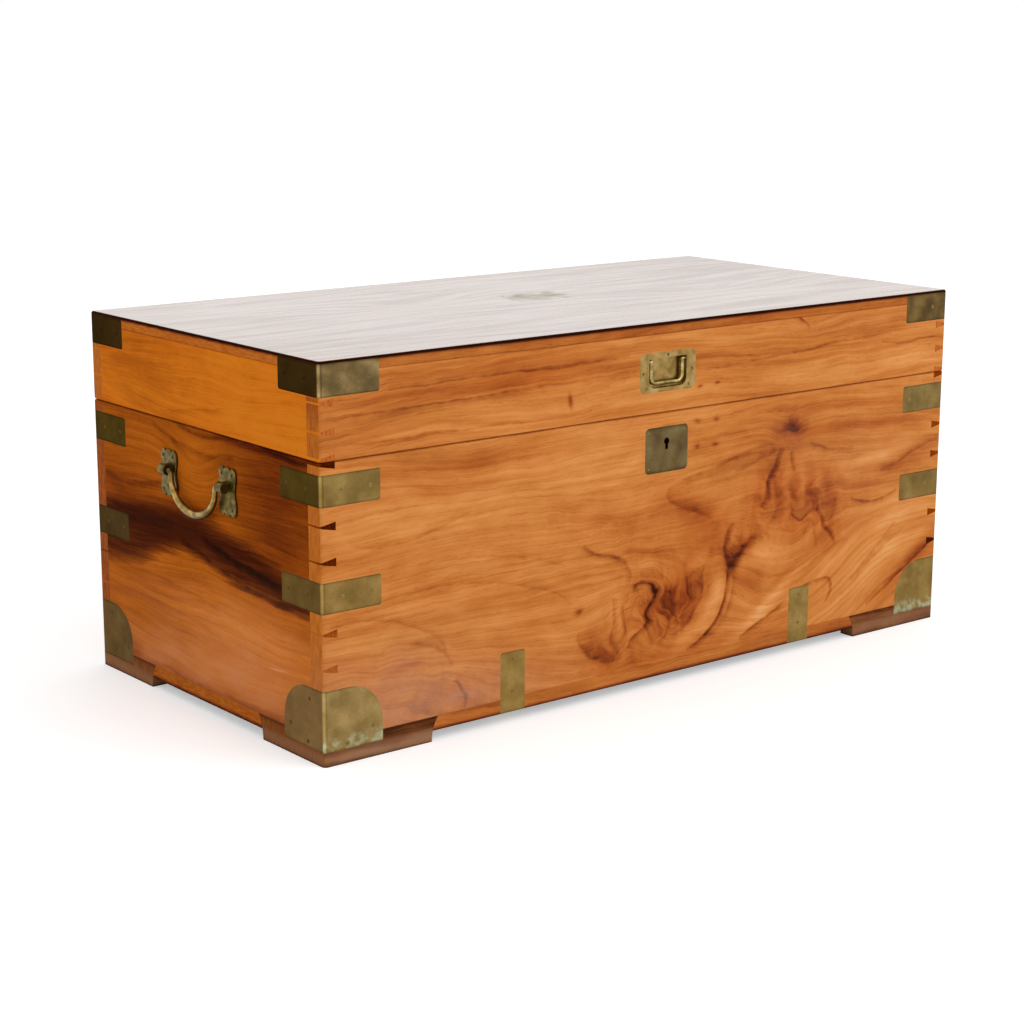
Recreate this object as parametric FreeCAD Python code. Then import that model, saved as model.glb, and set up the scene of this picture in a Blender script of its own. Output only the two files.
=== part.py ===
import FreeCAD, Part
import math
import os

# Brass-bound camphor-wood campaign chest with a hinged lid. Millimetres.
# X runs along the chest, Y from its front to its back, Z up from the floor.
# The origin lies on the floor under the middle of the case.

Vec = FreeCAD.Vector

# ---- Case --------------------------------------------------------------------------------
LENGTH = 1016.0
DEPTH = 510.0
HEIGHT = 458.0
LID_HEIGHT = 110.4
SEAM_GAP = 0.6              # lower box to closed lid
LONG_BOARD = 24.0           # thickness of front and back
END_BOARD = 20.0
TOP_BOARD = 14.0
BOTTOM_BOARD = 17.0
BOTTOM_PLANKS = 3
UNDERSIDE = 13.0            # floor to the underside of the bottom
UPRIGHT_ROUND = 5.0         # radius of the four upright corners
TOP_ROUND = 3.0             # radius round the lid's top edge
SEAM_CHAMFER = 0.8          # worn arris on both sides of the seam

# ---- Dovetails: tails on front and back, pins on the ends --------------------------------
PIN_TIP = 2.2               # pin width at the outer face
PIN_ROOT = 10.0             # pin width at the inner face
HALF_PIN = 4.0              # half pins at the top and bottom edges, at the outer face
PIN_PITCH = 40.7
PIN_FIRST = 41.8            # bottom edge of the lower box to its first pin
PIN_MARGIN = 20.0           # least wood from the last pin to the top edge
LID_PINS = 2

# ---- Bracket feet ------------------------------------------------------------------------
FOOT_BOARD = 22.0
FOOT_LONG = 158.0           # left feet along the front, at the top of the bracket
FOOT_LONG_RIGHT = 170.0     # right feet, which were cut a little longer
FOOT_SHORT = 136.0          # along the end
FOOT_SPLAY = 9.0            # how much shorter the bracket is at the floor
GLUE_BLOCK = 46.0
BLOCK_LIFT = 1.5            # glue block clear of the floor

# ---- Brass straps, let in flush ----------------------------------------------------------
BRASS = 1.8
STRAP_ARM = 80.0            # from the corner, each way
STRAP_TALL = 36.0
STRAP_ROUND = 3.0           # corners of the arm's end
LID_STRAP_SET = 3.0         # below the lid's top
LID_STRAP_TALL = 36.5
UPPER_STRAP_SET = 14.0      # below the seam
LOWER_STRAP_TOP = 212.5     # above the floor
CORNER_ARM = 80.0           # bottom corner brass
CORNER_BOTTOM = 17.0
CORNER_TOP = 88.5
CORNER_SHOULDER = 46.0      # radius of its rounded shoulder
BOTTOM_STRAP_X = 240.0
BOTTOM_STRAP_WIDE = 37.0
BOTTOM_STRAP_TOP = 87.5
BOTTOM_STRAP_UNDER = 60.0   # length of the arm under the case

# ---- Butt hinges -------------------------------------------------------------------------
HINGE_X = 300.0
HINGE_LENGTH = 76.0
HINGE_INSET = 5.0           # axis inside the back face
LEAF = 1.6
LEAF_MARGIN = 2.0           # leaf to the board's inner face
KNUCKLES = 5
KNUCKLE_R = 4.0
KNUCKLE_GAP = 0.4
KNUCKLE_RELIEF = 0.4        # wood and the other leaf stay this far off a knuckle
HINGE_PIN_R = 1.5
HINGE_PIN_HEAD_R = 2.4
HINGE_PIN_HEAD = 1.2
PIVOT_FIT = 0.05            # radial clearance of every pivot
LID_STOP_BEVEL = 50.0       # degrees; the two bevels meet when the lid is open
BEVEL_GAP = 0.25

# ---- Escutcheon and lock -----------------------------------------------------------------
ESCUTCHEON_WIDE = 70.0
ESCUTCHEON_TALL = 57.0
ESCUTCHEON_ROUND = 6.0
ESCUTCHEON_SET = 46.0       # centre below the seam
KEYHOLE_SET = 36.0
KEYHOLE_R = 4.3
KEY_SLOT_WIDE = 4.6
KEY_SLOT_LONG = 10.0        # from the round hole's centre
LOCK_END_ROOM = 1.25        # bolt to the end of its case
LOCK_TALL = 54.0
LOCK_DEEP = 13.0
LOCK_WALL = 1.6
LOCK_CAP = 1.5
SELVAGE_LUG = 8.0           # selvage past each end of the case
SELVAGE_DEEP = 15.0
SELVAGE = 2.0
STAPLE_X = 20.0
STAPLE_THICK = 3.5
STAPLE_ROOM = 0.95          # staple to each side of the case
STAPLE_DROP = 14.6          # below the link plate
STAPLE_EYE_TALL = 6.4
STAPLE_SIDE = 1.8           # brass under the eye
STAPLE_CLEAR = 0.7
BOLT_THICK = 3.0
BOLT_TRAVEL = 8.0
BOLT_TALL = 10.0
BOLT_CLEAR = 0.3
HOOK_WIDE = 4.5
HOOK_CLEAR = 1.2            # unlocked prong to its staple
PRONG_TALL = 4.4
TALON_WIDE = 12.0
TALON_DEEP = 4.0
KEY_PIN_R = 1.2
SPRING_LEAF = 0.6
SPRING_RISE = 4.6
PEG_R = 1.2

# ---- Side handles ------------------------------------------------------------------------
HANDLE_SET = 63.5           # plate centres below the seam
PLATE_WIDE = 36.0
PLATE_TALL = 57.0
PLATE = 3.0
PLATE_ROUND = 7.0
WAIST_R = 30.0
WAIST_DEEP = 2.6
NOTCH_R = 2.2
NOTCH_Y = 6.5
PIVOT_RISE = 5.5            # bail axis above the plates' centres
PIVOT_OUT = 9.0             # bail axis off the end face
BOSS_R = 6.3
BOSS_LONG = 14.0
BOSS_PLAY = 1.0             # bail's shoulder to the boss
BOSS_OFFSET = 1.5           # boss nearer the middle than its plate
POST_R = 6.8
BAIL_HALF = 50.0            # half-width of the bail's bow, to the bar's centre
BAIL_DROP = 43.5            # axis to the bar's centre at the bottom
BAIL_ELBOW = 7.0
BAIL_END_R = 3.2
BAIL_MID_R = 5.0
BAIL_TENON_R = 2.8
BAIL_STATIONS = 13

# ---- Flush handle on the lid -------------------------------------------------------------
FLUSH_PIVOT_SET = 47.5      # bail axis below the lid's top
FLUSH_PIVOT_IN = 3.0        # bail axis behind the front face
FLUSH_BAIL_HALF = 25.5
FLUSH_BAIL_DROP = 27.0
FLUSH_BAIL_R = 2.5
FLUSH_BAIL_BEND = 8.0
TRAY_SIDE_GAP = 2.5         # bail to the tray's sides
TRAY_LOW_GAP = 3.0
TRAY_HIGH_GAP = 2.0
TRAY_DEEP = 7.5
TRAY_WALL = 1.5
TRAY_ROUND = 10.0
FLUSH_RIM_SIDE = 15.0       # plate past the tray
FLUSH_RIM_LOW = 5.0
FLUSH_RIM_HIGH = 7.0
FLUSH_ROUND = 8.5
FLUSH_PLATE = 2.0
TRUNNION_R = 1.8
TRUNNION_IN = 3.5           # length held in the plate's ear
EAR_END = 1.5               # brass past the trunnion's end
EAR_TALL = 9.0
EAR_DEEP = 6.0

# ---- Plaque let into the lid -------------------------------------------------------------
PLAQUE_X = 20.0
PLAQUE_Y = 22.0
PLAQUE_LONG = 94.0
PLAQUE_WIDE = 66.0
PLAQUE_CLIP = 8.0

# ---- Screws and nails --------------------------------------------------------------------
STRAP_SCREW = (2.6, 14.0)   # head radius and length
CORNER_SCREW = (2.6, 13.0)
UNDER_SCREW = (2.6, 10.0)
PLATE_SCREW = (2.4, 15.0)
LEAF_SCREW = (2.2, 14.0)
SMALL_SCREW = (1.9, 9.0)
PLAQUE_PIN = (1.4, 8.0)
ESCUTCHEON_PIN_R = 1.4
PIN_SPARE = 3.0             # wood left between an escutcheon pin and the lock
STRAP_NEAR = 4.0            # first strap screw past the thicker board
STRAP_FAR = 13.0            # last strap screw to the arm's end
CORNER_ROW_SET = 14.0       # top screw below the top of a bottom corner
CORNER_LOW_ROW = 7.0        # low screw above the wall's lower edge
UNDER_STRAP_ROWS = (10.0, 49.0)     # below the top of a bottom strap
UNDER_SCREW_SET = 12.0      # last screw to the end of the arm under the case
PIN_EDGE = 6.0              # escutcheon pins to its edges
LEAF_SCREW_SHARE = 0.6      # leaf screws from the axis, as a share of the leaf
PLATE_SCREW_Y = 11.0        # handle plate screws from the plate's centre
PLATE_SCREW_Z = 20.5
FLUSH_SCREW_EDGE = 5.5
FLUSH_TOP_SCREW = 4.0
PLAQUE_PIN_EDGE = 9.0
SLOT_WIDE = 0.7
SLOT_DEEP = 0.5
NAIL_R = 1.1
NAIL_LONG = 40.0
NAIL_SUNK = 2.0
BOTTOM_NAILS = 5            # along each side, between the feet
BOTTOM_NAIL_EDGE = 20.0     # foot to the first nail
BOTTOM_END_NAILS = 2
BOTTOM_END_NAIL_EDGE = 49.0
TOP_NAILS = 6
TOP_NAIL_EDGE = 108.0       # corner to the first nail
TOP_END_NAILS = 3
TOP_END_NAIL_EDGE = 125.0

# ---- Worked out --------------------------------------------------------------------------
END_X = LENGTH / 2
FRONT_Y = -DEPTH / 2
WALL_BOTTOM = UNDERSIDE + BOTTOM_BOARD
LID_BOTTOM = HEIGHT - LID_HEIGHT
SEAM_HEIGHT = LID_BOTTOM - SEAM_GAP
RAIL_TOP = HEIGHT - TOP_BOARD
INNER_FRONT = FRONT_Y + LONG_BOARD
LID_STRAP_TOP = HEIGHT - LID_STRAP_SET
UPPER_STRAP_TOP = SEAM_HEIGHT - UPPER_STRAP_SET
AXIS_Y = DEPTH / 2 - HINGE_INSET
AXIS_Z = SEAM_HEIGHT + SEAM_GAP / 2
LEAF_WIDE = LONG_BOARD - HINGE_INSET - LEAF_MARGIN
ESCUTCHEON_Z = SEAM_HEIGHT - ESCUTCHEON_SET
KEYHOLE_Z = SEAM_HEIGHT - KEYHOLE_SET
ESCUTCHEON_PIN = (ESCUTCHEON_PIN_R, LONG_BOARD - LOCK_DEEP - PIN_SPARE)
PRONG_LONG = BOLT_TRAVEL - BOLT_CLEAR
HOOK_GAP = STAPLE_THICK / 2 + HOOK_CLEAR     # unlocked prong to the middle of its staple
LOCK_WIDE = 2 * (STAPLE_X + HOOK_GAP + PRONG_LONG + HOOK_WIDE + LOCK_END_ROOM + LOCK_WALL)
SELVAGE_WIDE = LOCK_WIDE + 2 * SELVAGE_LUG
STAPLE_WIDE = LOCK_DEEP - LOCK_WALL - LOCK_CAP - 2 * STAPLE_ROOM
STAPLE_EYE_WIDE = BOLT_THICK + 2 * STAPLE_CLEAR
CASE_MID_Y = INNER_FRONT - (LOCK_DEEP - LOCK_WALL + LOCK_CAP) / 2
HANDLE_Z = SEAM_HEIGHT - HANDLE_SET
PIVOT_Z = HANDLE_Z + PIVOT_RISE
BOSS_INNER = BAIL_HALF + BAIL_ELBOW + BOSS_PLAY
BOSS_OUTER = BOSS_INNER + BOSS_LONG
HANDLE_Y = (BOSS_INNER + BOSS_OUTER) / 2 + BOSS_OFFSET
FLUSH_PIVOT_Z = HEIGHT - FLUSH_PIVOT_SET
TRAY_HALF = FLUSH_BAIL_HALF + FLUSH_BAIL_R + TRAY_SIDE_GAP
TRAY_BOTTOM = FLUSH_PIVOT_Z - FLUSH_BAIL_DROP - FLUSH_BAIL_R - TRAY_LOW_GAP
TRAY_TOP = FLUSH_PIVOT_Z + FLUSH_BAIL_R + TRAY_HIGH_GAP
FLUSH_X = (-TRAY_HALF - FLUSH_RIM_SIDE, TRAY_HALF + FLUSH_RIM_SIDE)
FLUSH_SPAN = (TRAY_BOTTOM - FLUSH_RIM_LOW, TRAY_TOP + FLUSH_RIM_HIGH)
TRUNNION_END = TRAY_HALF + TRUNNION_IN
EAR_OUT = TRUNNION_END + EAR_END
PAST = 2.0                  # how far a cutting tool runs past a face
CORNERS = [("front_left", False, False), ("front_right", True, False),
           ("back_left", False, True), ("back_right", True, True)]    # name, right, back


# ---- Small tools -------------------------------------------------------------------------
def block(x, y, z):
    """Box between two values on each axis."""
    low = Vec(min(x), min(y), min(z))
    size = [abs(span[1] - span[0]) for span in (x, y, z)]
    return Part.makeBox(*size, low)


def rounded_block(x, y, z, along, radius, pick=lambda edge: True):
    """Box with the edges that run along one axis rounded, or those of them that pick takes."""
    body = block(x, y, z)
    chosen = [e for e in body.Edges
              if abs(e.tangentAt(e.FirstParameter).dot(along)) > 0.99 and pick(e.CenterOfMass)]
    return body.makeFillet(radius, chosen)


def prism(corners, start, run):
    """Solid between a flat outline of 3-D corners, moved by start, and the same moved by run."""
    wire = Part.makePolygon([Vec(*c) + start for c in corners] + [Vec(*corners[0]) + start])
    return Part.Face(wire).extrude(run)


def joined(shapes):
    """One solid from touching or crossing ones, with no seams left in flat faces."""
    first, *rest = shapes
    return first.fuse(rest).removeSplitter() if rest else first


def flip(shape, x=False, y=False):
    """Mirror image across the middle of the chest, lengthways, depthways or both."""
    if x:
        shape = shape.mirror(Vec(0, 0, 0), Vec(1, 0, 0))
    if y:
        shape = shape.mirror(Vec(0, 0, 0), Vec(0, 1, 0))
    return shape


def without(shape, tools):
    """Shape less those tools whose boxes reach it."""
    near = [t for t in tools if t.BoundBox.intersect(shape.BoundBox)]
    return shape.cut(near) if near else shape


def solids(shapes):
    """One group that holds every solid of the shapes."""
    return Part.Compound([s for shape in shapes for s in shape.Solids])


def upright_form(bottom, top, inset=0.0):
    """The case's rounded plan between two heights, its faces moved in by inset."""
    x, y = END_X - inset, DEPTH / 2 - inset
    return rounded_block((-x, x), (-y, y), (bottom, top), Vec(0, 0, 1), UPRIGHT_ROUND - inset)


def edges_at(shape, height):
    """The edges that lie flat at one height."""
    return [e for e in shape.Edges
            if abs(e.BoundBox.ZMin - height) < 1e-4 and abs(e.BoundBox.ZMax - height) < 1e-4]


# ---- Screws and nails --------------------------------------------------------------------
def screw(at, inward, size, slotted=True):
    """Countersunk screw whose flat head lies at a point of the surface."""
    head, length = size
    shank = head / 2
    body = joined([
        Part.makeCone(head, shank, head - shank, Vec(0, 0, 0), Vec(0, 0, -1)),
        Part.makeCylinder(shank, length - shank, Vec(0, 0, 0), Vec(0, 0, -1)),
        Part.makeCone(shank, shank / 4, shank, Vec(0, 0, shank - length), Vec(0, 0, -1))])
    if slotted:
        body = body.cut(block((-head, head), (-SLOT_WIDE / 2, SLOT_WIDE / 2), (-SLOT_DEEP, PAST)))
    body.Placement = FreeCAD.Placement(at, FreeCAD.Rotation(Vec(0, 0, -1), inward))
    return body


class Fixings:
    """Screws or nails of one body, kept as solids and as the holes they fill."""

    def __init__(self):
        self.solids = []
        self.holes = []

    def add_screw(self, at, inward, size):
        """Drive one screw."""
        self.solids.append(screw(at, inward, size))
        self.holes.append(screw(at, inward, size, slotted=False))

    def add_nail(self, at, inward):
        """Drive one headless nail."""
        nail = Part.makeCylinder(NAIL_R, NAIL_LONG, at, inward)
        self.solids.append(nail)
        self.holes.append(nail)


def corner_points(offsets):
    """Surface points and inward directions on both faces of all four upright corners."""
    for sign_x in (-1, 1):
        for sign_y in (-1, 1):
            for along, height in offsets:
                yield (Vec(sign_x * (END_X - along), sign_y * DEPTH / 2, height),
                       Vec(0, -sign_y, 0))
                yield (Vec(sign_x * END_X, sign_y * (DEPTH / 2 - along), height),
                       Vec(-sign_x, 0, 0))


# ---- Brass let into the corners ----------------------------------------------------------
def corner_brass(front_region, end_region):
    """A brass and its recess, bent round the front left corner, from two flat regions."""
    recess = joined([front_region, end_region])
    recess = recess.cut(upright_form(0, HEIGHT, BRASS))
    return recess.common(upright_form(0, HEIGHT)), recess


def corner_strap(top, tall):
    """Straight strap of one height round the front left corner."""
    z = (top - tall, top)
    far_x = STRAP_ARM - END_X
    far_y = FRONT_Y + STRAP_ARM
    front = rounded_block((-END_X - PAST, far_x), (FRONT_Y - PAST, FRONT_Y + UPRIGHT_ROUND), z,
                          Vec(0, 1, 0), STRAP_ROUND, lambda c: c.x > far_x - 1)
    end = rounded_block((-END_X - PAST, UPRIGHT_ROUND - END_X), (FRONT_Y - PAST, far_y), z,
                        Vec(1, 0, 0), STRAP_ROUND, lambda c: c.y > far_y - 1)
    return corner_brass(front, end)


def shouldered_outline(point):
    """Face of the bottom corner brass: point turns distance from the corner and height to 3-D."""
    flat = CORNER_ARM - CORNER_SHOULDER
    shoulder_z = CORNER_TOP - CORNER_SHOULDER
    slant = CORNER_SHOULDER * math.sqrt(0.5)
    top = [point(-PAST, CORNER_TOP), point(flat, CORNER_TOP)]
    side = [point(CORNER_ARM, shoulder_z), point(CORNER_ARM, CORNER_BOTTOM)]
    foot = point(-PAST, CORNER_BOTTOM)
    arc = Part.Arc(top[1], point(flat + slant, shoulder_z + slant), side[0]).toShape()
    lines = [Part.makeLine(a, b) for a, b in ((top[0], top[1]), side, (side[1], foot),
                                               (foot, top[0]))]
    return Part.Face(Part.Wire(Part.__sortEdges__([arc] + lines)))


def bottom_corner():
    """Brass with a rounded shoulder on each face, round the foot of the front left corner."""
    front = shouldered_outline(lambda a, z: Vec(a - END_X, FRONT_Y - PAST, z))
    end = shouldered_outline(lambda a, z: Vec(-END_X - PAST, FRONT_Y + a, z))
    return corner_brass(front.extrude(Vec(0, UPRIGHT_ROUND + PAST, 0)),
                        end.extrude(Vec(UPRIGHT_ROUND + PAST, 0, 0)))


def bottom_strap():
    """Upright strap on the front left that turns under the case."""
    x = (-BOTTOM_STRAP_X - BOTTOM_STRAP_WIDE / 2, -BOTTOM_STRAP_X + BOTTOM_STRAP_WIDE / 2)
    low = UNDERSIDE - PAST
    upright = rounded_block(x, (FRONT_Y - PAST, FRONT_Y + BRASS), (low, BOTTOM_STRAP_TOP),
                            Vec(0, 1, 0), STRAP_ROUND, lambda c: c.z > BOTTOM_STRAP_TOP - 1)
    under = block(x, (FRONT_Y - PAST, FRONT_Y + BOTTOM_STRAP_UNDER), (low, UNDERSIDE + BRASS))
    recess = joined([upright, under])
    outside = block((-END_X, END_X), (FRONT_Y, -FRONT_Y), (UNDERSIDE, HEIGHT))
    return recess.common(outside), recess


def four_corners(name, pair):
    """A corner piece and its recess at all four corners, as named nodes and tools."""
    nodes = {f"{name}_{corner}": flip(pair[0], right, back) for corner, right, back in CORNERS}
    return nodes, [flip(pair[1], right, back) for _, right, back in CORNERS]


# ---- Woodwork ----------------------------------------------------------------------------
def dovetail_pins(bottom, top, centres):
    """The pins of the left end that pass through the front board."""
    flare = (PIN_ROOT - PIN_TIP) / 2
    outer, inner = -END_X, END_BOARD - END_X
    outlines = [((outer, z - PIN_TIP / 2), (outer, z + PIN_TIP / 2),
                 (inner, z + PIN_ROOT / 2), (inner, z - PIN_ROOT / 2)) for z in centres]
    for edge, up in ((bottom, 1), (top, -1)):
        outlines.append(((outer, edge), (outer, edge + up * HALF_PIN),
                         (inner, edge + up * (HALF_PIN + flare)), (inner, edge)))
    return [prism([(x, 0, z) for x, z in outline], Vec(0, FRONT_Y, 0), Vec(0, LONG_BOARD, 0))
            for outline in outlines]


def dovetailed_walls(bottom, top, centres, form):
    """Front, back, left and right walls of a box, cut to the rounded form of the case."""
    pins = dovetail_pins(bottom, top, centres)
    panel = block((-END_X, END_BOARD - END_X), (INNER_FRONT, -INNER_FRONT), (bottom, top))
    left = joined([panel] + pins + [flip(p, y=True) for p in pins])
    front = block((-END_X, END_X), (FRONT_Y, INNER_FRONT), (bottom, top))
    front = front.cut(pins + [flip(p, x=True) for p in pins])
    walls = (front, flip(front, y=True), left, flip(left, x=True))
    return [wall.common(form) for wall in walls]


def foot(long):
    """Front left bracket foot, long along the front: two mitred brackets and their block."""
    def bracket_face(point, length):
        """Bracket outline with a hollow curve at its free end."""
        start, end = point(length - FOOT_SPLAY, 0), point(length, WALL_BOTTOM)
        middle = point(length - FOOT_SPLAY * 0.75, WALL_BOTTOM * 0.55)
        corner = (point(0, WALL_BOTTOM), point(0, 0))
        lines = [Part.makeLine(end, corner[0]), Part.makeLine(*corner),
                 Part.makeLine(corner[1], start)]
        arc = Part.Arc(start, middle, end).toShape()
        return Part.Face(Part.Wire(Part.__sortEdges__([arc] + lines)))

    front = bracket_face(lambda a, z: Vec(a - END_X, FRONT_Y, z), long)
    end = bracket_face(lambda a, z: Vec(-END_X, FRONT_Y + a, z), FOOT_SHORT)
    front = front.extrude(Vec(0, FOOT_BOARD, 0))
    end = end.extrude(Vec(FOOT_BOARD, 0, 0))
    corner = Vec(-END_X, FRONT_Y, -PAST)
    reach = max(long, FOOT_SHORT)
    front_half = prism([(0, 0, 0), (reach, 0, 0), (reach, reach, 0)], corner, Vec(0, 0, HEIGHT))
    form = upright_form(0, HEIGHT)
    inner_x, inner_y = FOOT_BOARD - END_X, FRONT_Y + FOOT_BOARD
    glue = block((inner_x, inner_x + GLUE_BLOCK), (inner_y, inner_y + GLUE_BLOCK),
                 (BLOCK_LIFT, UNDERSIDE))
    return front.common(front_half).common(form), end.cut(front_half).common(form), glue


def bottom_planks(form):
    """Planks of the bottom, laid lengthways edge to edge."""
    wide = DEPTH / BOTTOM_PLANKS
    edges = [FRONT_Y + wide * i for i in range(BOTTOM_PLANKS + 1)]
    return [block((-END_X, END_X), pair, (UNDERSIDE, WALL_BOTTOM)).common(form)
            for pair in zip(edges, edges[1:])]


# ---- Hinges ------------------------------------------------------------------------------
def axis_cylinder(radius, x, length):
    """Cylinder on the lid's axis, from x along the chest."""
    return Part.makeCylinder(radius, length, Vec(x, AXIS_Y, AXIS_Z), Vec(1, 0, 0))


def hinge_leaf(x, side):
    """Leaf and knuckles of one hinge: side is -1 for the case's leaf and 1 for the lid's."""
    start = x - HINGE_LENGTH / 2
    width = (HINGE_LENGTH - KNUCKLE_GAP * (KNUCKLES - 1)) / KNUCKLES
    step = width + KNUCKLE_GAP
    leaf = leaf_recess(x, side)
    own = [start + step * i for i in range(KNUCKLES) if (i % 2 == 0) == (side < 0)]
    other = [start + step * i for i in range(KNUCKLES) if (i % 2 == 0) == (side > 0)]
    leaf = leaf.cut([axis_cylinder(KNUCKLE_R + KNUCKLE_RELIEF, place - KNUCKLE_GAP,
                                   width + 2 * KNUCKLE_GAP) for place in other])
    leaf = joined([leaf] + [axis_cylinder(KNUCKLE_R, place, width) for place in own])
    return leaf.cut(axis_cylinder(HINGE_PIN_R + PIVOT_FIT, start - PAST, HINGE_LENGTH + 2 * PAST))


def leaf_recess(x, side):
    """The flat leaf, which is also the recess that it is let into."""
    surface = AXIS_Z + side * SEAM_GAP / 2
    return block((x - HINGE_LENGTH / 2, x + HINGE_LENGTH / 2),
                 (AXIS_Y - LEAF_WIDE, AXIS_Y), (surface, surface + side * LEAF))


def hinge_pin(x):
    """Hinge pin with a flat head at each end."""
    start = x - HINGE_LENGTH / 2
    return joined([axis_cylinder(HINGE_PIN_R, start - HINGE_PIN_HEAD,
                                 HINGE_LENGTH + 2 * HINGE_PIN_HEAD),
                   axis_cylinder(HINGE_PIN_HEAD_R, start - HINGE_PIN_HEAD, HINGE_PIN_HEAD),
                   axis_cylinder(HINGE_PIN_HEAD_R, start + HINGE_LENGTH, HINGE_PIN_HEAD)])


def back_edge_tools(side):
    """Stop bevel, barrel reliefs and leaf recesses in the back edge of the case or the lid."""
    slope = math.tan(math.radians(LID_STOP_BEVEL))
    apex = AXIS_Y - BEVEL_GAP / math.sin(math.radians(LID_STOP_BEVEL))
    outer = -FRONT_Y + PAST
    corners = [(0, apex, AXIS_Z), (0, outer, AXIS_Z + side * (outer - apex) * slope),
               (0, outer, AXIS_Z)]
    tools = [prism(corners, Vec(-END_X - PAST, 0, 0), Vec(LENGTH + 2 * PAST, 0, 0))]
    for x in (-HINGE_X, HINGE_X):
        room = HINGE_LENGTH + 2 * PAST
        tools += [axis_cylinder(KNUCKLE_R + KNUCKLE_RELIEF, x - room / 2, room),
                  leaf_recess(x, side)]
    return tools


# ---- Escutcheon and lock -----------------------------------------------------------------
def keyhole(y):
    """Round hole with a slot below it, between two depths."""
    centre = Vec(0, min(y), KEYHOLE_Z)
    return joined([Part.makeCylinder(KEYHOLE_R, abs(y[1] - y[0]), centre, Vec(0, 1, 0)),
                   block((-KEY_SLOT_WIDE / 2, KEY_SLOT_WIDE / 2), y,
                         (KEYHOLE_Z - KEY_SLOT_LONG, KEYHOLE_Z))])


def escutcheon_blank():
    """Escutcheon before its keyhole is cut."""
    return rounded_block((-ESCUTCHEON_WIDE / 2, ESCUTCHEON_WIDE / 2), (FRONT_Y, FRONT_Y + BRASS),
                         (ESCUTCHEON_Z - ESCUTCHEON_TALL / 2, ESCUTCHEON_Z + ESCUTCHEON_TALL / 2),
                         Vec(0, 1, 0), ESCUTCHEON_ROUND)


LOCK_X = (-LOCK_WIDE / 2, LOCK_WIDE / 2)
LOCK_Y = (INNER_FRONT - LOCK_DEEP, INNER_FRONT)
LOCK_Z = (SEAM_HEIGHT - LOCK_TALL, SEAM_HEIGHT - SELVAGE)
ROOM_X = (LOCK_X[0] + LOCK_WALL, LOCK_X[1] - LOCK_WALL)
ROOM_Y = (LOCK_Y[0] + LOCK_WALL, INNER_FRONT)
ROOM_Z = (LOCK_Z[0] + LOCK_WALL, LOCK_Z[1])
EYE_BOTTOM = LID_BOTTOM - STAPLE_DROP + STAPLE_SIDE
EYE_MID = EYE_BOTTOM + STAPLE_EYE_TALL / 2
BOLT_TOP = LID_BOTTOM - STAPLE_DROP - SPRING_RISE - 2 * PEG_R
BOLT_BOTTOM = BOLT_TOP - BOLT_TALL


def lock_mortise():
    """Pocket in the front board for the lock, its selvage and the key."""
    selvage = block((-SELVAGE_WIDE / 2, SELVAGE_WIDE / 2),
                    (INNER_FRONT - SELVAGE_DEEP, INNER_FRONT), (SEAM_HEIGHT - SELVAGE, SEAM_HEIGHT))
    case = block(LOCK_X, LOCK_Y, (LOCK_Z[0], SEAM_HEIGHT))
    return [selvage, case, keyhole((FRONT_Y - PAST, LOCK_Y[0]))]


def spring_ends():
    """Where the two ends of the lock spring lie along the bolt."""
    left_hook = -STAPLE_X - HOOK_GAP - PRONG_LONG + BOLT_TRAVEL
    right_hook = STAPLE_X - HOOK_GAP - PRONG_LONG - HOOK_WIDE
    return left_hook + 6 * PEG_R, right_hook - 3 * PEG_R


def lock_case():
    """Open tray with the selvage on top, the bolt's ledges and the spring's pegs."""
    tray = block(LOCK_X, LOCK_Y, LOCK_Z).cut(block(ROOM_X, ROOM_Y, ROOM_Z))
    selvage = block((-SELVAGE_WIDE / 2, SELVAGE_WIDE / 2),
                    (INNER_FRONT - SELVAGE_DEEP, INNER_FRONT), (SEAM_HEIGHT - SELVAGE, SEAM_HEIGHT))
    ledge_y = (ROOM_Y[0] - LOCK_WALL / 2, CASE_MID_Y + BOLT_THICK / 2)
    ledge_z = (BOLT_BOTTOM - BOLT_CLEAR - LOCK_WALL, BOLT_BOTTOM - BOLT_CLEAR)
    ledges = [block((ROOM_X[0] - LOCK_WALL / 2, -TALON_WIDE), ledge_y, ledge_z),
              block((TALON_WIDE, ROOM_X[1] + LOCK_WALL / 2), ledge_y, ledge_z)]
    peg_z = BOLT_TOP + SPRING_RISE + PEG_R
    pegs = [Part.makeCylinder(PEG_R, CASE_MID_Y + BOLT_THICK / 2 - LOCK_Y[0],
                              Vec(x, LOCK_Y[0], peg_z), Vec(0, 1, 0)) for x in spring_ends()]
    slots = [block((x - STAPLE_THICK / 2 - STAPLE_CLEAR, x + STAPLE_THICK / 2 + STAPLE_CLEAR),
                   (CASE_MID_Y - STAPLE_WIDE / 2 - STAPLE_CLEAR,
                    CASE_MID_Y + STAPLE_WIDE / 2 + STAPLE_CLEAR),
                   (SEAM_HEIGHT - SELVAGE - PAST, SEAM_HEIGHT + PAST))
             for x in (-STAPLE_X, STAPLE_X)]
    return joined([tray, selvage] + ledges + pegs).cut(slots + [keyhole(
        (LOCK_Y[0] - PAST, ROOM_Y[0] + PAST))])


def lock_cap():
    """Plate that closes the case flush with the inside of the chest, with the key's pin."""
    plate = block(ROOM_X, (INNER_FRONT - LOCK_CAP, INNER_FRONT), ROOM_Z)
    pin = Part.makeCylinder(KEY_PIN_R, INNER_FRONT - LOCK_CAP / 2 - ROOM_Y[0] - BOLT_CLEAR,
                            Vec(0, ROOM_Y[0] + BOLT_CLEAR, KEYHOLE_Z), Vec(0, 1, 0))
    return joined([plate, pin])


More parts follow.
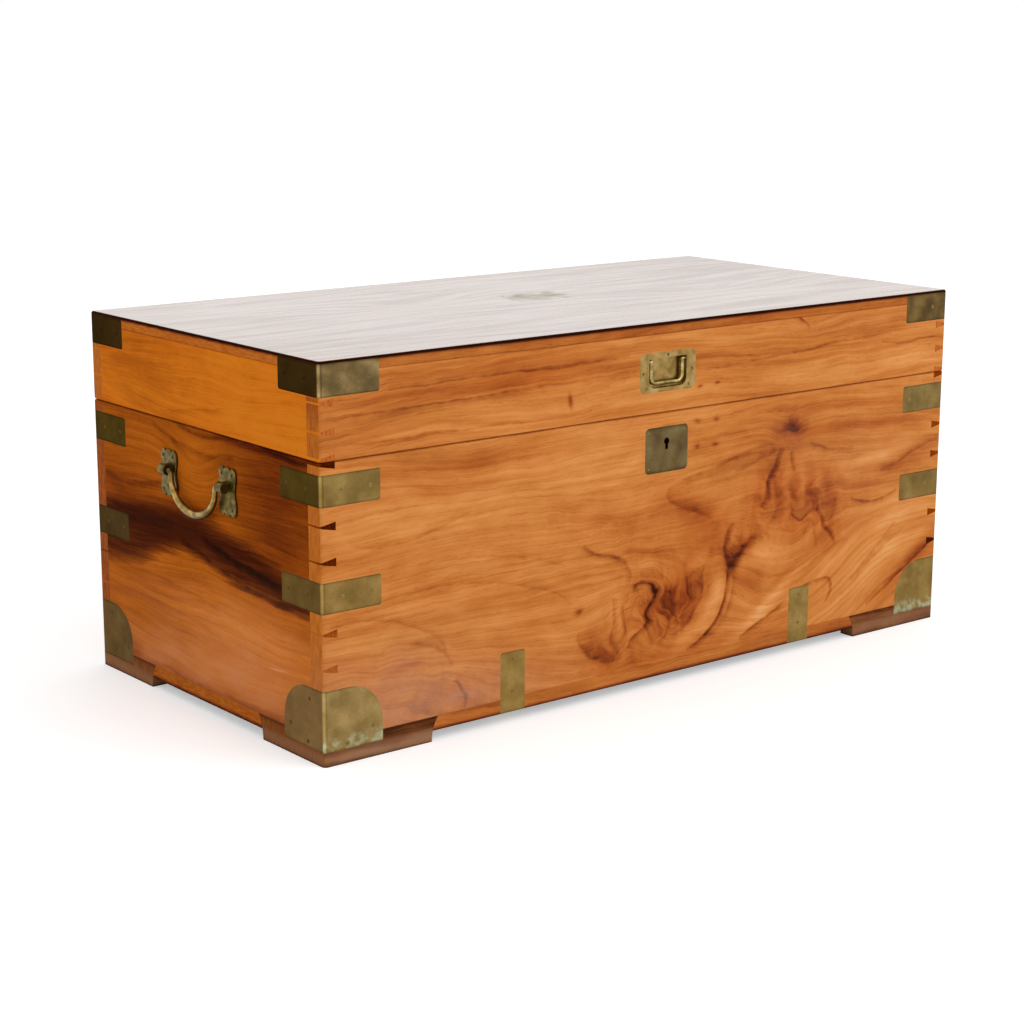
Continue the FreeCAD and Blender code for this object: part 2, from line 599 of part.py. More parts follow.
def lock_bolt():
    """Bar with two hooked prongs that slide through the staples, and a notch for the key."""
    y = (CASE_MID_Y - BOLT_THICK / 2, CASE_MID_Y + BOLT_THICK / 2)
    parts = []
    tips = [x - HOOK_GAP for x in (-STAPLE_X, STAPLE_X)]
    for tip in tips:
        root = tip - PRONG_LONG
        parts += [block((root - HOOK_WIDE, root), y, (BOLT_TOP, EYE_MID + PRONG_TALL / 2)),
                  block((root, tip), y, (EYE_MID - PRONG_TALL / 2, EYE_MID + PRONG_TALL / 2))]
    left = tips[0] - PRONG_LONG - HOOK_WIDE
    bar = block((left, tips[1] - PRONG_LONG), y, (BOLT_BOTTOM, BOLT_TOP))
    talon = block((-TALON_WIDE / 2, TALON_WIDE / 2), y, (BOLT_BOTTOM, BOLT_BOTTOM + TALON_DEEP))
    return joined([bar] + parts).cut(talon)


def lock_spring():
    """Bowed leaf that lies under the two pegs and bears on the bolt."""
    left, right = spring_ends()
    middle = (left + right) / 2
    rise = SPRING_RISE - SPRING_LEAF - BOLT_CLEAR
    low = BOLT_TOP + BOLT_CLEAR

    def bow(lift):
        """Arc of the leaf's lower or upper face."""
        return Part.Arc(Vec(left - PEG_R, 0, low + rise + lift), Vec(middle, 0, low + lift),
                        Vec(right + PEG_R, 0, low + rise + lift)).toShape()

    lower, upper = bow(0), bow(SPRING_LEAF)
    ends = [Part.makeLine(a.Point, b.Point) for a, b in zip(lower.Vertexes, upper.Vertexes)]
    face = Part.Face(Part.Wire(Part.__sortEdges__([lower, upper] + ends)))
    face.translate(Vec(0, CASE_MID_Y - BOLT_THICK / 2, 0))
    return face.extrude(Vec(0, BOLT_THICK, 0))


def link_plate_blank():
    """Flat plate under the lid's front rail."""
    return block((-SELVAGE_WIDE / 2, SELVAGE_WIDE / 2), (INNER_FRONT - SELVAGE_DEEP, INNER_FRONT),
                 (LID_BOTTOM, LID_BOTTOM + SELVAGE))


def link_plate():
    """Plate with the two staples that the bolt locks."""
    parts = [link_plate_blank()]
    for x in (-STAPLE_X, STAPLE_X):
        tab = block((x - STAPLE_THICK / 2, x + STAPLE_THICK / 2),
                    (CASE_MID_Y - STAPLE_WIDE / 2, CASE_MID_Y + STAPLE_WIDE / 2),
                    (LID_BOTTOM - STAPLE_DROP, LID_BOTTOM))
        eye = block((x - STAPLE_THICK, x + STAPLE_THICK),
                    (CASE_MID_Y - STAPLE_EYE_WIDE / 2, CASE_MID_Y + STAPLE_EYE_WIDE / 2),
                    (EYE_BOTTOM, EYE_BOTTOM + STAPLE_EYE_TALL))
        parts.append(tab.cut(eye))
    return joined(parts)


# ---- Side handles ------------------------------------------------------------------------
def handle_plate():
    """Cast plate behind the left handle, with the boss that carries one end of the bail."""
    face = -END_X - PLATE
    y = (HANDLE_Y - PLATE_WIDE / 2, HANDLE_Y + PLATE_WIDE / 2)
    z = (HANDLE_Z - PLATE_TALL / 2, HANDLE_Z + PLATE_TALL / 2)
    plate = rounded_block((face, -END_X), y, z, Vec(1, 0, 0), PLATE_ROUND)
    shaping = []
    for side in (-1, 1):
        waist = HANDLE_Y + side * (PLATE_WIDE / 2 + WAIST_R - WAIST_DEEP)
        shaping.append((WAIST_R, waist, HANDLE_Z))
        shaping += [(NOTCH_R, HANDLE_Y + side * NOTCH_Y, edge) for edge in z]
    plate = plate.cut([Part.makeCylinder(r, PLATE + 2 * PAST, Vec(face - PAST, at_y, at_z),
                                         Vec(1, 0, 0)) for r, at_y, at_z in shaping])
    rim = [e for e in plate.Edges if abs(e.BoundBox.XMin - face) < 1e-4
           and abs(e.BoundBox.XMax - face) < 1e-4]
    plate = plate.makeChamfer(PLATE / 4, rim)
    pivot = -END_X - PIVOT_OUT
    boss_long = BOSS_OUTER - BOSS_INNER
    boss = Part.makeCylinder(BOSS_R, boss_long, Vec(pivot, BOSS_INNER, PIVOT_Z), Vec(0, 1, 0))
    post = Part.makeCylinder(POST_R, PIVOT_OUT - PLATE / 2,
                             Vec(pivot, (BOSS_INNER + BOSS_OUTER) / 2, PIVOT_Z), Vec(1, 0, 0))
    bore = Part.makeCylinder(BAIL_TENON_R + PIVOT_FIT, boss_long + 2 * PAST,
                             Vec(pivot, BOSS_INNER - PAST, PIVOT_Z), Vec(0, 1, 0))
    return joined([plate, boss, post]).cut(bore)


def ring(centre, across, radius):
    """Round section of the side bail: across lies in its plane, square to the bar."""
    circle = Part.Circle(Vec(0, 0, 0), Vec(0, 0, 1), radius).toShape()
    side = Vec(1, 0, 0)
    turn = FreeCAD.Rotation(side, across, side.cross(across), "ZXY")
    circle.Placement = FreeCAD.Placement(centre, turn)
    return Part.Wire([circle])


def side_bail():
    """Swelling bow that hangs between the two bosses of the left handle."""
    pivot = -END_X - PIVOT_OUT
    drop = BAIL_DROP - BAIL_ELBOW
    rings = []
    for step in range(BAIL_STATIONS):
        turn = math.pi * step / (BAIL_STATIONS - 1)
        centre = Vec(pivot, BAIL_HALF * math.cos(turn),
                     PIVOT_Z - BAIL_ELBOW - drop * math.sin(turn))
        across = Vec(0, drop * math.cos(turn), -BAIL_HALF * math.sin(turn)).normalize()
        swell = math.sin(turn) ** 1.5
        rings.append(ring(centre, across, BAIL_END_R + (BAIL_MID_R - BAIL_END_R) * swell))
    bow = Part.makeLoft(rings, True, False)
    elbow_end = Part.Face(ring(Vec(pivot, BAIL_HALF, PIVOT_Z - BAIL_ELBOW), Vec(0, 1, 0),
                               BAIL_END_R))
    elbow = elbow_end.revolve(Vec(pivot, BAIL_HALF + BAIL_ELBOW, PIVOT_Z - BAIL_ELBOW),
                              Vec(1, 0, 0), -90)
    tenon = Part.makeCylinder(BAIL_TENON_R, BOSS_OUTER - BAIL_HALF - BAIL_ELBOW,
                              Vec(pivot, BAIL_HALF + BAIL_ELBOW, PIVOT_Z), Vec(0, 1, 0))
    end = [elbow, tenon]
    return joined([bow] + end + [flip(part, y=True) for part in end])


# ---- Flush handle ------------------------------------------------------------------------
def tray_form(grow, front, back):
    """Solid of the tray's pocket, its faces moved out by grow, between two depths."""
    half = TRAY_HALF + grow
    middle = (TRAY_BOTTOM + TRAY_TOP) / 2
    return rounded_block((-half, half), (front, back), (TRAY_BOTTOM - grow, TRAY_TOP + grow),
                         Vec(0, 1, 0), TRAY_ROUND + grow, lambda c: c.z < middle)


def flush_blank():
    """Flush handle's plate, tray and ears before the pocket is cut: it fills its recess."""
    plate = rounded_block(FLUSH_X, (FRONT_Y, FRONT_Y + FLUSH_PLATE), FLUSH_SPAN,
                          Vec(0, 1, 0), FLUSH_ROUND)
    tray = tray_form(TRAY_WALL, FRONT_Y, FRONT_Y + TRAY_DEEP + TRAY_WALL)
    ears = block((-EAR_OUT, EAR_OUT), (FRONT_Y, FRONT_Y + EAR_DEEP),
                 (FLUSH_PIVOT_Z - EAR_TALL / 2, FLUSH_PIVOT_Z + EAR_TALL / 2))
    return joined([plate, tray, ears])


def flush_plate():
    """Plate with a sunk tray, bored for the bail's trunnions."""
    pocket = tray_form(0, FRONT_Y - PAST, FRONT_Y + TRAY_DEEP)
    reach = TRUNNION_END + BOLT_CLEAR
    bore = Part.makeCylinder(TRUNNION_R + PIVOT_FIT, 2 * reach,
                             Vec(-reach, FRONT_Y + FLUSH_PIVOT_IN, FLUSH_PIVOT_Z), Vec(1, 0, 0))
    return flush_blank().cut([pocket, bore])


def flush_bail():
    """U-shaped bail that lies in the tray, with a trunnion at each end."""
    y = FRONT_Y + FLUSH_PIVOT_IN
    low = FLUSH_PIVOT_Z - FLUSH_BAIL_DROP
    bend = FLUSH_BAIL_BEND
    slant = bend * (1 - math.sqrt(0.5))
    top = Vec(FLUSH_BAIL_HALF, y, FLUSH_PIVOT_Z)
    leg_end = Vec(FLUSH_BAIL_HALF, y, low + bend)
    mid = Vec(FLUSH_BAIL_HALF - slant, y, low + slant)
    foot_end = Vec(FLUSH_BAIL_HALF - bend, y, low)
    mirror = [Vec(-p.x, p.y, p.z) for p in (top, leg_end, mid, foot_end)]
    edges = [Part.makeLine(top, leg_end), Part.Arc(leg_end, mid, foot_end).toShape(),
             Part.makeLine(foot_end, mirror[3]),
             Part.Arc(mirror[3], mirror[2], mirror[1]).toShape(),
             Part.makeLine(mirror[1], mirror[0])]
    section = Part.Wire([Part.Circle(top, Vec(0, 0, 1), FLUSH_BAIL_R).toShape()])
    bar = Part.Wire(edges).makePipeShell([section], True, False)
    ends = []
    for sign in (-1, 1):
        at = Vec(sign * FLUSH_BAIL_HALF, y, FLUSH_PIVOT_Z)
        ends += [Part.makeSphere(FLUSH_BAIL_R, at),
                 Part.makeCylinder(TRUNNION_R, TRUNNION_END - FLUSH_BAIL_HALF, at,
                                   Vec(sign, 0, 0))]
    return joined([bar] + ends)


# ---- Plaque ------------------------------------------------------------------------------
def plaque():
    """Bare plate with clipped corners, let into the top of the lid."""
    half_x, half_y, clip = PLAQUE_LONG / 2, PLAQUE_WIDE / 2, PLAQUE_CLIP
    corners = [(half_x, half_y - clip, 0), (half_x - clip, half_y, 0)]
    corners += [(-x, y, 0) for x, y, _ in reversed(corners)]
    corners += [(-x, -y, 0) for x, y, _ in corners]
    return prism(corners, Vec(PLAQUE_X, PLAQUE_Y, HEIGHT - BRASS), Vec(0, 0, BRASS))


# ---- Assembly ----------------------------------------------------------------------------
def spread(half, count):
    """Places spread evenly from -half to half."""
    return [half * (2 * i / (count - 1) - 1) for i in range(count)]


def both_sides():
    """The four pairs of signs, for left and right with front and back or down and up."""
    return [(a, b) for a in (-1, 1) for b in (-1, 1)]


def strap_columns():
    """Distances of a strap's two screws from the corner."""
    return max(LONG_BOARD, END_BOARD) + STRAP_NEAR, STRAP_ARM - STRAP_FAR


def edge_screws(fixings, height, inward):
    """Screws in the seam: the lock's lugs at the front and the hinge leaves at the back."""
    for side in (-1, 1):
        lug = Vec(side * (LOCK_WIDE + SELVAGE_LUG) / 2, INNER_FRONT - SELVAGE_DEEP / 2, height)
        fixings.add_screw(lug, inward, SMALL_SCREW)
        for offset in spread(HINGE_LENGTH / 3, 3):
            leaf = Vec(side * HINGE_X + offset, AXIS_Y - LEAF_WIDE * LEAF_SCREW_SHARE, height)
            fixings.add_screw(leaf, inward, LEAF_SCREW)


def edge_nails(height, inward, long_places, end_places):
    """Nails through a top or bottom board into the middle of the four walls' thickness."""
    nails = Fixings()
    for side in (-1, 1):
        for x in long_places:
            nails.add_nail(Vec(x, side * (DEPTH / 2 - LONG_BOARD / 2), height), inward)
        for y in end_places:
            nails.add_nail(Vec(side * (END_X - END_BOARD / 2), y, height), inward)
    return nails


def case_strap_fixings():
    """Screws of the straps and corners on the lower box."""
    straps = Fixings()
    near, far = strap_columns()
    for top in (UPPER_STRAP_TOP, LOWER_STRAP_TOP):
        middle = top - STRAP_TALL / 2
        for at, inward in corner_points([(near, middle), (far, middle)]):
            straps.add_screw(at, inward, STRAP_SCREW)
    rows = [(near, CORNER_TOP - CORNER_ROW_SET), (far, WALL_BOTTOM + CORNER_LOW_ROW),
            (near + STRAP_NEAR, (CORNER_BOTTOM + WALL_BOTTOM) / 2)]
    for at, inward in corner_points(rows):
        straps.add_screw(at, inward, CORNER_SCREW)
    for side, face in both_sides():
        x = side * BOTTOM_STRAP_X
        for row in UNDER_STRAP_ROWS:
            straps.add_screw(Vec(x, face * DEPTH / 2, BOTTOM_STRAP_TOP - row),
                             Vec(0, -face, 0), STRAP_SCREW)
        under = face * (DEPTH / 2 - BOTTOM_STRAP_UNDER + UNDER_SCREW_SET)
        straps.add_screw(Vec(x, under, UNDERSIDE), Vec(0, 0, 1), UNDER_SCREW)
    return straps


def case_fitting_fixings():
    """Screws and pins of the lock, escutcheon, hinges and side handles on the lower box."""
    fittings = Fixings()
    edge_screws(fittings, SEAM_HEIGHT, Vec(0, 0, -1))
    for side, up in both_sides():
        fittings.add_screw(Vec(side * (ESCUTCHEON_WIDE / 2 - PIN_EDGE), FRONT_Y,
                               ESCUTCHEON_Z + up * (ESCUTCHEON_TALL / 2 - PIN_EDGE)),
                           Vec(0, 1, 0), ESCUTCHEON_PIN)
    for end, face in both_sides():
        for across, up in both_sides():
            fittings.add_screw(Vec(end * (END_X + PLATE), face * HANDLE_Y + across * PLATE_SCREW_Y,
                                   HANDLE_Z + up * PLATE_SCREW_Z), Vec(-end, 0, 0), PLATE_SCREW)
    return fittings


def lid_screw_fixings():
    """Screws and pins of the lid's straps, hinges, link plate, flush handle and plaque."""
    screws = Fixings()
    middle = LID_STRAP_TOP - LID_STRAP_TALL / 2
    for at, inward in corner_points([(column, middle) for column in strap_columns()]):
        screws.add_screw(at, inward, STRAP_SCREW)
    edge_screws(screws, LID_BOTTOM, Vec(0, 0, 1))
    places = [(0, FLUSH_SPAN[1] - FLUSH_TOP_SCREW)]
    for x in FLUSH_X:
        inset = math.copysign(FLUSH_SCREW_EDGE, x)
        places += [(x - inset, sum(FLUSH_SPAN) / 2),
                   (x - 2 * inset, FLUSH_SPAN[0] + FLUSH_SCREW_EDGE)]
    for x, z in places:
        screws.add_screw(Vec(x, FRONT_Y, z), Vec(0, 1, 0), SMALL_SCREW)
    for side, face in both_sides():
        screws.add_screw(Vec(PLAQUE_X + side * (PLAQUE_LONG / 2 - PLAQUE_PIN_EDGE),
                             PLAQUE_Y + face * (PLAQUE_WIDE / 2 - PLAQUE_PIN_EDGE), HEIGHT),
                         Vec(0, 0, -1), PLAQUE_PIN)
    return screws


def lower_box():
    """Every node of the case below the seam, apart from the bolt and the bails."""
    straps, fittings = case_strap_fixings(), case_fitting_fixings()
    nails = edge_nails(UNDERSIDE + NAIL_SUNK, Vec(0, 0, 1),
                       spread(END_X - FOOT_LONG_RIGHT - BOTTOM_NAIL_EDGE, BOTTOM_NAILS),
                       spread(DEPTH / 2 - FOOT_SHORT - BOTTOM_END_NAIL_EDGE, BOTTOM_END_NAILS))
    holes = straps.holes + fittings.holes + nails.holes
    upper, upper_cut = four_corners("upper_strap", corner_strap(UPPER_STRAP_TOP, STRAP_TALL))
    lower, lower_cut = four_corners("lower_strap", corner_strap(LOWER_STRAP_TOP, STRAP_TALL))
    corners, corners_cut = four_corners("bottom_corner", bottom_corner())
    unders, unders_cut = four_corners("bottom_strap", bottom_strap())
    brasses = {**upper, **lower, **corners, **unders}
    recesses = upper_cut + lower_cut + corners_cut + unders_cut + [escutcheon_blank()]

    form = upright_form(0, SEAM_HEIGHT)
    form = form.makeChamfer(SEAM_CHAMFER, edges_at(form, SEAM_HEIGHT))
    count = int((SEAM_HEIGHT - WALL_BOTTOM - PIN_FIRST - PIN_MARGIN) / PIN_PITCH) + 1
    centres = [WALL_BOTTOM + PIN_FIRST + PIN_PITCH * i for i in range(count)]
    walls = dovetailed_walls(WALL_BOTTOM, SEAM_HEIGHT, centres, form)
    names = ("front_board", "back_board", "left_end_board", "right_end_board")
    mortises = lock_mortise() + back_edge_tools(-1)
    nodes = {name: without(wall, recesses + mortises + holes)
             for name, wall in zip(names, walls)}

    feet = {right: foot(FOOT_LONG_RIGHT if right else FOOT_LONG) for right in (False, True)}
    brackets = [flip(part, right, back) for _, right, back in CORNERS
                for part in feet[right][:2]]
    planks = [without(plank, brackets + recesses + holes) for plank in bottom_planks(form)]
    nodes["bottom_boards"] = solids(planks)
    for corner, right, back in CORNERS:
        pieces = [without(flip(part, right, back), recesses + holes) for part in feet[right]]
        nodes[f"{corner}_foot"] = solids(pieces)

    nodes.update({name: without(brass, holes) for name, brass in brasses.items()})
    plate_cut = keyhole((FRONT_Y - PAST, FRONT_Y + BRASS + PAST))
    nodes["escutcheon"] = without(escutcheon_blank(), [plate_cut] + holes)
    nodes["lock_case"] = without(lock_case(), holes)
    nodes["lock_cap"] = lock_cap()
    nodes["lock_spring"] = lock_spring()
    plate = handle_plate()
    for side, right in (("left", False), ("right", True)):
        nodes[f"{side}_handle_back_plate"] = without(flip(plate, right), holes)
        nodes[f"{side}_handle_front_plate"] = without(flip(plate, right, True), holes)
        x = HINGE_X if right else -HINGE_X
        nodes[f"{side}_hinge_case_leaf"] = without(hinge_leaf(x, -1), holes)
    nodes["hinge_pins"] = solids([hinge_pin(-HINGE_X), hinge_pin(HINGE_X)])
    nodes["case_strap_screws"] = solids(straps.solids)
    nodes["case_fitting_screws"] = solids(fittings.solids)
    nodes["bottom_nails"] = solids(nails.solids)
    return nodes


def lid():
    """Every node of the lid, apart from its flush bail."""
    screws = lid_screw_fixings()
    nails = edge_nails(HEIGHT - NAIL_SUNK, Vec(0, 0, -1),
                       spread(END_X - TOP_NAIL_EDGE, TOP_NAILS),
                       spread(DEPTH / 2 - TOP_END_NAIL_EDGE, TOP_END_NAILS))
    holes = screws.holes + nails.holes
    brasses, recesses = four_corners("lid_strap", corner_strap(LID_STRAP_TOP, LID_STRAP_TALL))
    form = upright_form(LID_BOTTOM, HEIGHT)
    form = form.makeChamfer(SEAM_CHAMFER, edges_at(form, LID_BOTTOM))
    form = form.makeFillet(TOP_ROUND, edges_at(form, HEIGHT))
    pitch = (RAIL_TOP - LID_BOTTOM) / (LID_PINS + 1)
    centres = [LID_BOTTOM + pitch * (i + 1) for i in range(LID_PINS)]
    walls = dovetailed_walls(LID_BOTTOM, RAIL_TOP, centres, form)
    names = ("lid_front_rail", "lid_back_rail", "lid_left_rail", "lid_right_rail")
    mortises = [flush_blank(), link_plate_blank()] + back_edge_tools(1)
    nodes = {name: without(wall, recesses + mortises + holes)
             for name, wall in zip(names, walls)}
    top = block((-END_X, END_X), (FRONT_Y, -FRONT_Y), (RAIL_TOP, HEIGHT)).common(form)
    nodes["lid_top_board"] = without(top, recesses + holes + [plaque()])
    nodes.update({name: without(brass, holes) for name, brass in brasses.items()})
    nodes["left_hinge_lid_leaf"] = without(hinge_leaf(-HINGE_X, 1), holes)
    nodes["right_hinge_lid_leaf"] = without(hinge_leaf(HINGE_X, 1), holes)
    nodes["link_plate"] = without(link_plate(), holes)
    nodes["flush_handle_plate"] = without(flush_plate(), holes)
    nodes["lid_plaque"] = without(plaque(), holes)
    nodes["lid_screws"] = solids(screws.solids)
    nodes["lid_nails"] = solids(nails.solids)
    return nodes


def main():
    """Build every node and write one STEP file for each."""
    os.makedirs("parts", exist_ok=True)
    nodes = {**lower_box(), **lid()}
    nodes["lock_bolt"] = lock_bolt()
    nodes["left_handle_bail"] = side_bail()
    nodes["right_handle_bail"] = flip(side_bail(), x=True)
    nodes["flush_handle_bail"] = flush_bail()
    for name, shape in sorted(nodes.items()):
        shape.exportStep(os.path.join("parts", name + ".step"))
        print(f"{name:28s} solids {len(shape.Solids):3d}  volume {shape.Volume / 1000:10.3f} cm3"
              f"  valid {shape.isValid()}")


main()
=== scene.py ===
"""Finishes, studio and camera for a brass-bound camphor-wood campaign chest."""

from __future__ import annotations

import logging
import math
from collections.abc import Callable
from dataclasses import dataclass, replace
from enum import Enum
from functools import partial
from typing import Any

import bpy
from mathutils import Matrix, Vector

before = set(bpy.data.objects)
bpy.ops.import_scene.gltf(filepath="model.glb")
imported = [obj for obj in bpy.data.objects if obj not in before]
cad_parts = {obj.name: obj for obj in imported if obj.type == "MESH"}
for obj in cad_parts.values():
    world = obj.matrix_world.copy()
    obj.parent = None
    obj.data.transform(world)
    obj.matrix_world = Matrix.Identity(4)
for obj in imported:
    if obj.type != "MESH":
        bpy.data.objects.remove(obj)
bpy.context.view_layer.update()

logging.basicConfig(level=logging.INFO, format="%(name)s: %(message)s")
LOG = logging.getLogger("chest")

MM_PER_M = 1000.0
# What a soft mask falls to at its reach.
FADE = math.exp(-1)
# How deep a relief of full strength is, in metres.
RELIEF = 0.0002
WHITE = (1.0, 1.0, 1.0, 1.0)

Node = bpy.types.Node
Adder = Callable[..., Node]
Point = tuple[float, float]
Triple = tuple[float, float, float]
Shades = tuple[str, ...]


# ---- Node and colour helpers ---------------------------------------------------------------


def linear(hex_colour: str) -> tuple[float, float, float, float]:
    """Turn an sRGB hex colour into the linear RGBA that a shader takes.

    Args:
        hex_colour: Six hex digits with a leading hash.

    Returns:
        Linear red, green, blue and an alpha of 1.
    """
    parts = [int(hex_colour[i : i + 2], 16) / 255 for i in (1, 3, 5)]
    red, green, blue = (c / 12.92 if c <= 0.04045 else ((c + 0.055) / 1.055) ** 2.4 for c in parts)
    return red, green, blue, 1.0


def add_node(tree: bpy.types.NodeTree, kind: str, *inputs: Any, **settings: Any) -> Node:
    """Add one shader node with its settings and links.

    Args:
        tree: The node tree that it goes into.
        kind: The node's type without its ShaderNode prefix, then its operation or data type.
        inputs: What its inputs in use take, in order: values, sockets, or nodes that stand
            for their first output in use. A dict gives the same by input name.
        settings: Properties of the node. "stops" are (position, hex) pairs of a colour
            ramp, and "points" are the (x, y) points of a curve.

    Returns:
        The new node.
    """
    kind, _, option = kind.partition(" ")
    node = tree.nodes.new("ShaderNode" + kind)
    if option:
        setattr(node, "data_type" if kind == "Mix" else "operation", option)
    for key, value in settings.items():
        if key == "stops":
            elements = node.color_ramp.elements
            while len(elements) < len(value):
                elements.new(1.0)
            for element, (position, colour) in zip(elements, value):
                element.position = position
                element.color = linear(colour)
        elif key == "points":
            points = node.mapping.curves[0].points
            while len(points) < len(value):
                points.new(0.5, 0.5)
            for point, place in zip(points, value):
                point.location = place
            node.mapping.extend = "HORIZONTAL"
            node.mapping.update()
        else:
            setattr(node, key, value)
    used = [socket for socket in node.inputs if socket.enabled]
    pairs: list[tuple[bpy.types.NodeSocket, Any]] = []
    for i, value in enumerate(inputs):
        if isinstance(value, dict):
            pairs += [(next(s for s in used if s.name == k), v) for k, v in value.items()]
        else:
            pairs.append((used[i], value))
    for socket, value in pairs:
        if isinstance(value, Node):
            value = next(s for s in value.outputs if s.enabled)
        if isinstance(value, bpy.types.NodeSocket):
            tree.links.new(value, socket)
        else:
            socket.default_value = value
    return node


def new_material(name: str) -> tuple[bpy.types.Material, Adder]:
    """Make an empty node material.

    Args:
        name: The material's name.

    Returns:
        The material, and what adds a node to its tree.
    """
    material = bpy.data.materials.new(name)
    material.use_nodes = True
    material.node_tree.nodes.clear()
    return material, partial(add_node, material.node_tree)


def dress(node: str, material: bpy.types.Material) -> None:
    """Give a CAD node its material in every slot.

    Args:
        node: The CAD node's name.
        material: The finish that it gets.
    """
    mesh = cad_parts[node].data
    mesh.materials.clear()
    mesh.materials.append(material)
    LOG.info("%s wears %s", node, material.name)


class Painter:
    """Lays a finish's nodes in a new material, and keeps the values that its steps share."""

    def __init__(self, name: str) -> None:
        """Start the tree with the chest's space in millimetres and the way the surface faces.

        Args:
            name: The material's name.
        """
        self.material, self.add = new_material(name)
        place = self.add("TexCoord")
        self.metres = self.add("SeparateXYZ", place.outputs["Object"])
        self.mm = self.add("VectorMath SCALE", place.outputs["Object"], MM_PER_M)
        self.normal = self.add("SeparateXYZ", place.outputs["Normal"])

    def clouds(
        self,
        space: Node,
        sizes: Triple,
        shift: Triple = (0, 0, 0),
        detail: float = 2.0,
        **more: float,
    ) -> Node:
        """Random clouds of a real size.

        Args:
            space: Coordinates in millimetres.
            sizes: How long a cloud is each way, in millimetres, or infinity.
            shift: Where the coordinates start in the endless pattern.
            detail: How many finer layers it has.
            more: Other inputs of the noise.

        Returns:
            The pattern, whose middle value is 0.5.
        """
        spot = self.add("VectorMath MULTIPLY_ADD", space, [1 / s for s in sizes], shift)
        return self.add("TexNoise", spot, 1.0, detail, more)

    def near(self, height: Any, at: float, reach: float) -> Node:
        """A soft level line.

        Args:
            height: Each point's height.
            at: The line's height.
            reach: How far it fades to each side.

        Returns:
            A mask that is 1 on the line.
        """
        away = self.add("Math MULTIPLY_ADD", height, 1 / reach, -at / reach)
        square = self.add("Math MULTIPLY", away, away)
        return self.add("Math POWER", FADE, square)

    def close(self, strength: float, relief: Any, sockets: dict[str, Any]) -> bpy.types.Material:
        """End the tree with a shader over a fine relief.

        Args:
            strength: How strongly the relief shows.
            relief: Its height.
            sockets: The shader's inputs by name.

        Returns:
            The finished material.
        """
        bump = self.add("Bump", {"Strength": strength, "Distance": RELIEF, "Height": relief})
        shader = self.add("BsdfPrincipled", {**sockets, "Normal": bump})
        self.add("OutputMaterial", shader)
        return self.material


# ---- Camphor wood --------------------------------------------------------------------------


class Cut(Enum):
    """Which of the chest's axes run along a board's grain, across it and through it."""

    LENGTHWISE = ("X", "Z", "Y")
    CROSSWISE = ("Y", "Z", "X")
    FLAT = ("X", "Y", "Z")


@dataclass(frozen=True)
class Swell:
    """An oval disturbance of the growth rings: a knot, a swirl, a stain or a worn place.

    Its middle and its reach are in millimetres along and across the board, and its turn is in
    degrees. It may change the tone, redden and bleach the wood, and lift, lean and stir the
    rings.
    """

    at: Point
    reach: Point
    tone: float = 0.0
    red: float = 0.0
    turn: float = 0.0
    lift: float = 0.0
    lean: float = 0.0
    stir: float = 0.0
    pale: float = 0.0


@dataclass(frozen=True)
class Vein:
    """A dark line between two growth rings, in millimetres along and across the board.

    Its width is how far its sharp side reaches, and its trail how far the colour fades on the
    other side, which is the path's left where the trail is positive.
    """

    path: tuple[Point, ...]
    depth: float
    width: float
    trail: float


@dataclass(frozen=True)
class Heartwood:
    """A broad dark band between two lines that run along the board."""

    lower: tuple[Point, ...]
    upper: tuple[Point, ...]
    depth: float


@dataclass(frozen=True)
class DarkLine:
    """A darker line along the edges at one height, in millimetres."""

    height: float
    reach: float
    depth: float


@dataclass(frozen=True)
class Camphor:
    """Camphor wood, sawn flat, planed, stained by age and rubbed with wax.

    The tone runs from 0, the darkest heartwood, to 1, the palest wood. The eye gets broad
    warm bands, growth rings that bend round knots, short dark pores and a soft sheen. With
    polish it is shellac on the level top, whose colour is painted duller and cooler than at
    its sides, a painted reflection of its grey glare.
    """

    name: str
    cut: Cut
    seed: float = 0.0
    swells: tuple[Swell, ...] = ()
    veins: tuple[Vein, ...] = ()
    heartwood: tuple[Heartwood, ...] = ()
    dark_lines: tuple[DarkLine, ...] = ()
    tone: float = 0.66
    broad: float = 0.20
    streak: float = 0.15
    blotch: float = 0.09
    end_tone: float = -0.05
    palette: Shades = ("#220E06", "#602A17", "#9A5022", "#C47635", "#DC934F", "#EEB47E")
    ruddy: float = 0.45
    haze: str = "#BE8A6E"
    sheen: float = 0.02
    end_tint: Triple = (1.0, 0.88, 0.42)
    end_lift: Triple = (0.0, 0.0, 0.0)
    roughness: float = 0.42
    polish: float = 0.0
    # What the polished top's colour is multiplied by: a painted reflection that turns it toward the
    # grey of its glare.
    above: Triple = (1.0, 1.0, 1.0)
    late_wood: float = 0.06
    pores: float = 0.08
    # How long the bends of the growth rings are, and how far they go, in millimetres.
    bends: tuple[Point, ...] = ((90.0, 9.0), (22.0, 3.6))
    # How far the rings shift for each millimetre of depth, and how they drift along a board.
    ring_slope: float = 0.6
    drift: Triple = (420.0, 110.0, 300.0)
    drift_reach: float = 60.0
    # Real sizes in millimetres. Fibres are finer than this, and are drawn as coarse as shows.
    ring_space: float = 11.0
    ragged: float = 44.0
    fibre: Point = (70.0, 1.7)
    pore: Point = (9.0, 0.9)

    def make(self) -> bpy.types.Material:
        """Build the material."""
        return WoodPainter(self).paint()


